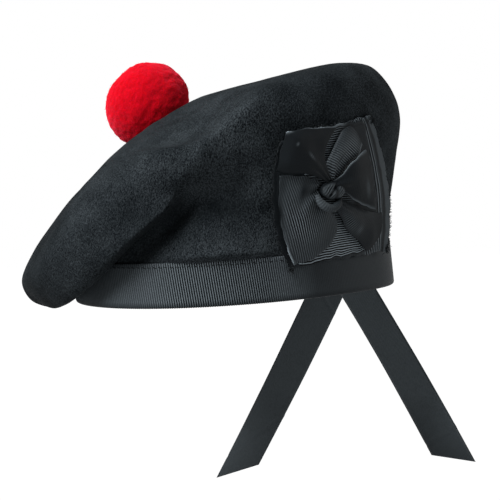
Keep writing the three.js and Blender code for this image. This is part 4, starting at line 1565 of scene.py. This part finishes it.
class BONNET_OT_stage(bpy.types.Operator):
    """Pale floor, soft studio light and the camera"""

    bl_idname = "bonnet.stage"
    bl_label = "Stage"
    FLOOR = {"height": -0.6, "half": 6.0, "glow": 1.05}
    AIM = Vector((0, 0, 0.05))
    BACKDROP_EDGE = (0.8, 0.95)
    STUDIO = (0.3, 0.3, 0.3, 1)
    BACKDROP = (1.0, 1.0, 1.0, 1)
    LIGHTS = (
        {"name": "key", "way": (-0.074, -0.727, 0.682), "far": 1.6, "size": 0.9, "power": 82},
        {"name": "side", "way": (0.581, 0.775, 0.245), "far": 1.6, "size": 0.9, "power": 8},
    )

    def execute(self, context):
        """Makes the stage."""
        scene = context.scene
        scene.view_settings.view_transform = "Standard"
        world = bpy.data.worlds.new("studio")
        world.use_nodes = True
        self.surround(world.node_tree)
        scene.world = world
        self.floor(scene)
        for light in self.LIGHTS:
            self.lamp(scene, light)
        self.camera(scene)
        return {"FINISHED"}

    def surround(self, tree):
        """Lit backdrop behind the bonnet, in a studio that is darker all round."""
        way = tree.nodes.new("ShaderNodeTexCoord").outputs["Generated"]
        behind = tree.nodes.new("ShaderNodeVectorMath")
        behind.operation = "DOT_PRODUCT"
        behind.inputs[1].default_value = [-part for part in self.facing()]
        tree.links.new(way, behind.inputs[0])
        share = between(tree, behind.outputs["Value"], self.BACKDROP_EDGE, True)
        tint = blend_colours(tree, share, self.STUDIO, self.BACKDROP)
        tree.links.new(tint, tree.nodes["Background"].inputs["Color"])

    def facing(self):
        """Direction from the bonnet to the camera."""
        azimuth, rise = (math.radians(VIEW[key]) for key in ("azimuth", "elevation"))
        level = math.cos(rise)
        return Vector((math.sin(azimuth) * level, -math.cos(azimuth) * level, math.sin(rise)))

    def floor(self, scene):
        """Wide pale floor under the bonnet."""
        mesh = bpy.data.meshes.new("floor")
        half, height = self.FLOOR["half"], self.FLOOR["height"]
        corners = [(x * half, y * half, height) for x, y in ((-1, -1), (1, -1), (1, 1), (-1, 1))]
        mesh.from_pydata(corners, [], [(0, 1, 2, 3)])
        floor = bpy.data.objects.new("floor", mesh)
        scene.collection.objects.link(floor)
        material = bpy.data.materials.new("floor")
        material.use_nodes = True
        shader = material.node_tree.nodes["Principled BSDF"]
        shader.inputs["Base Color"].default_value = (0, 0, 0, 1)
        shader.inputs["Roughness"].default_value = 1.0
        shader.inputs["Specular IOR Level"].default_value = 0.0
        shader.inputs["Emission Color"].default_value = (1, 1, 1, 1)
        shader.inputs["Emission Strength"].default_value = self.FLOOR["glow"]
        mesh.materials.append(material)

    def lamp(self, scene, light):
        """Soft square lamp that faces the bonnet."""
        data = bpy.data.lights.new(light["name"], "AREA")
        data.energy = light["power"]
        data.size = light["size"]
        lamp = bpy.data.objects.new(light["name"], data)
        way = Vector(light["way"]).normalized()
        lamp.location = way * light["far"] + self.AIM
        lamp.rotation_euler = way.to_track_quat("Z", "Y").to_euler()
        scene.collection.objects.link(lamp)

    def camera(self, scene):
        """Camera at the angle and distance that the bonnet is seen from."""
        azimuth, roll = (math.radians(VIEW[key]) for key in ("azimuth", "roll"))
        toward = self.facing()
        level = Vector((math.cos(azimuth), math.sin(azimuth), 0))
        upright = toward.cross(level)
        right = level * math.cos(roll) - upright * math.sin(roll)
        up = upright * math.cos(roll) + level * math.sin(roll)
        pixel = VIEW["distance"] * VIEW["sensor"] / VIEW["lens"] / VIEW_FRAME
        across, down = (value - VIEW_FRAME / 2 for value in ORIGIN_PIXEL)
        eye = toward * VIEW["distance"] - right * across * pixel + up * down * pixel
        data = bpy.data.cameras.new("camera")
        data.lens = VIEW["lens"]
        data.sensor_width = VIEW["sensor"]
        camera = bpy.data.objects.new("camera", data)
        turn = Matrix((right, up, toward)).transposed()
        camera.matrix_world = Matrix.Translation(eye) @ turn.to_4x4()
        scene.collection.objects.link(camera)
        scene.camera = camera


class BONNET_PT_panel(bpy.types.Panel):
    """Lists the pieces of the bonnet in the sidebar"""

    bl_idname = "BONNET_PT_panel"
    bl_label = "Balmoral Bonnet"
    bl_space_type = "VIEW_3D"
    bl_region_type = "UI"
    bl_category = "Bonnet"

    def draw(self, context):
        """Shows the sizes, the colours and a button for each piece."""
        for group in (context.scene.bonnet_sizes, context.scene.bonnet_colours):
            for name in group.bl_rna.properties.keys():
                if name not in ("rna_type", "name"):
                    self.layout.prop(group, name)
        for operator in OPERATORS:
            self.layout.operator(operator.bl_idname)


OPERATORS = (
    BONNET_OT_stage,
    BONNET_OT_felt_crown,
    BONNET_OT_ribbon_band,
    BONNET_OT_cockade,
    BONNET_OT_bow,
    BONNET_OT_knot,
    BONNET_OT_ties,
    BONNET_OT_pompom,
)
CLASSES = (BonnetSizes, BonnetColours, *OPERATORS, BONNET_PT_panel)


def register():
    """Registers the classes and their settings."""
    for kind in CLASSES:
        bpy.utils.register_class(kind)
    bpy.types.Scene.bonnet_sizes = bpy.props.PointerProperty(type=BonnetSizes)
    bpy.types.Scene.bonnet_colours = bpy.props.PointerProperty(type=BonnetColours)


def unregister():
    """Removes the settings and the classes."""
    del bpy.types.Scene.bonnet_sizes
    del bpy.types.Scene.bonnet_colours
    for kind in reversed(CLASSES):
        bpy.utils.unregister_class(kind)


def main():
    """Makes every piece in order."""
    register()
    for operator in OPERATORS:
        group, name = operator.bl_idname.split(".")
        getattr(getattr(bpy.ops, group), name)()


if __name__ == "__main__":
    main()
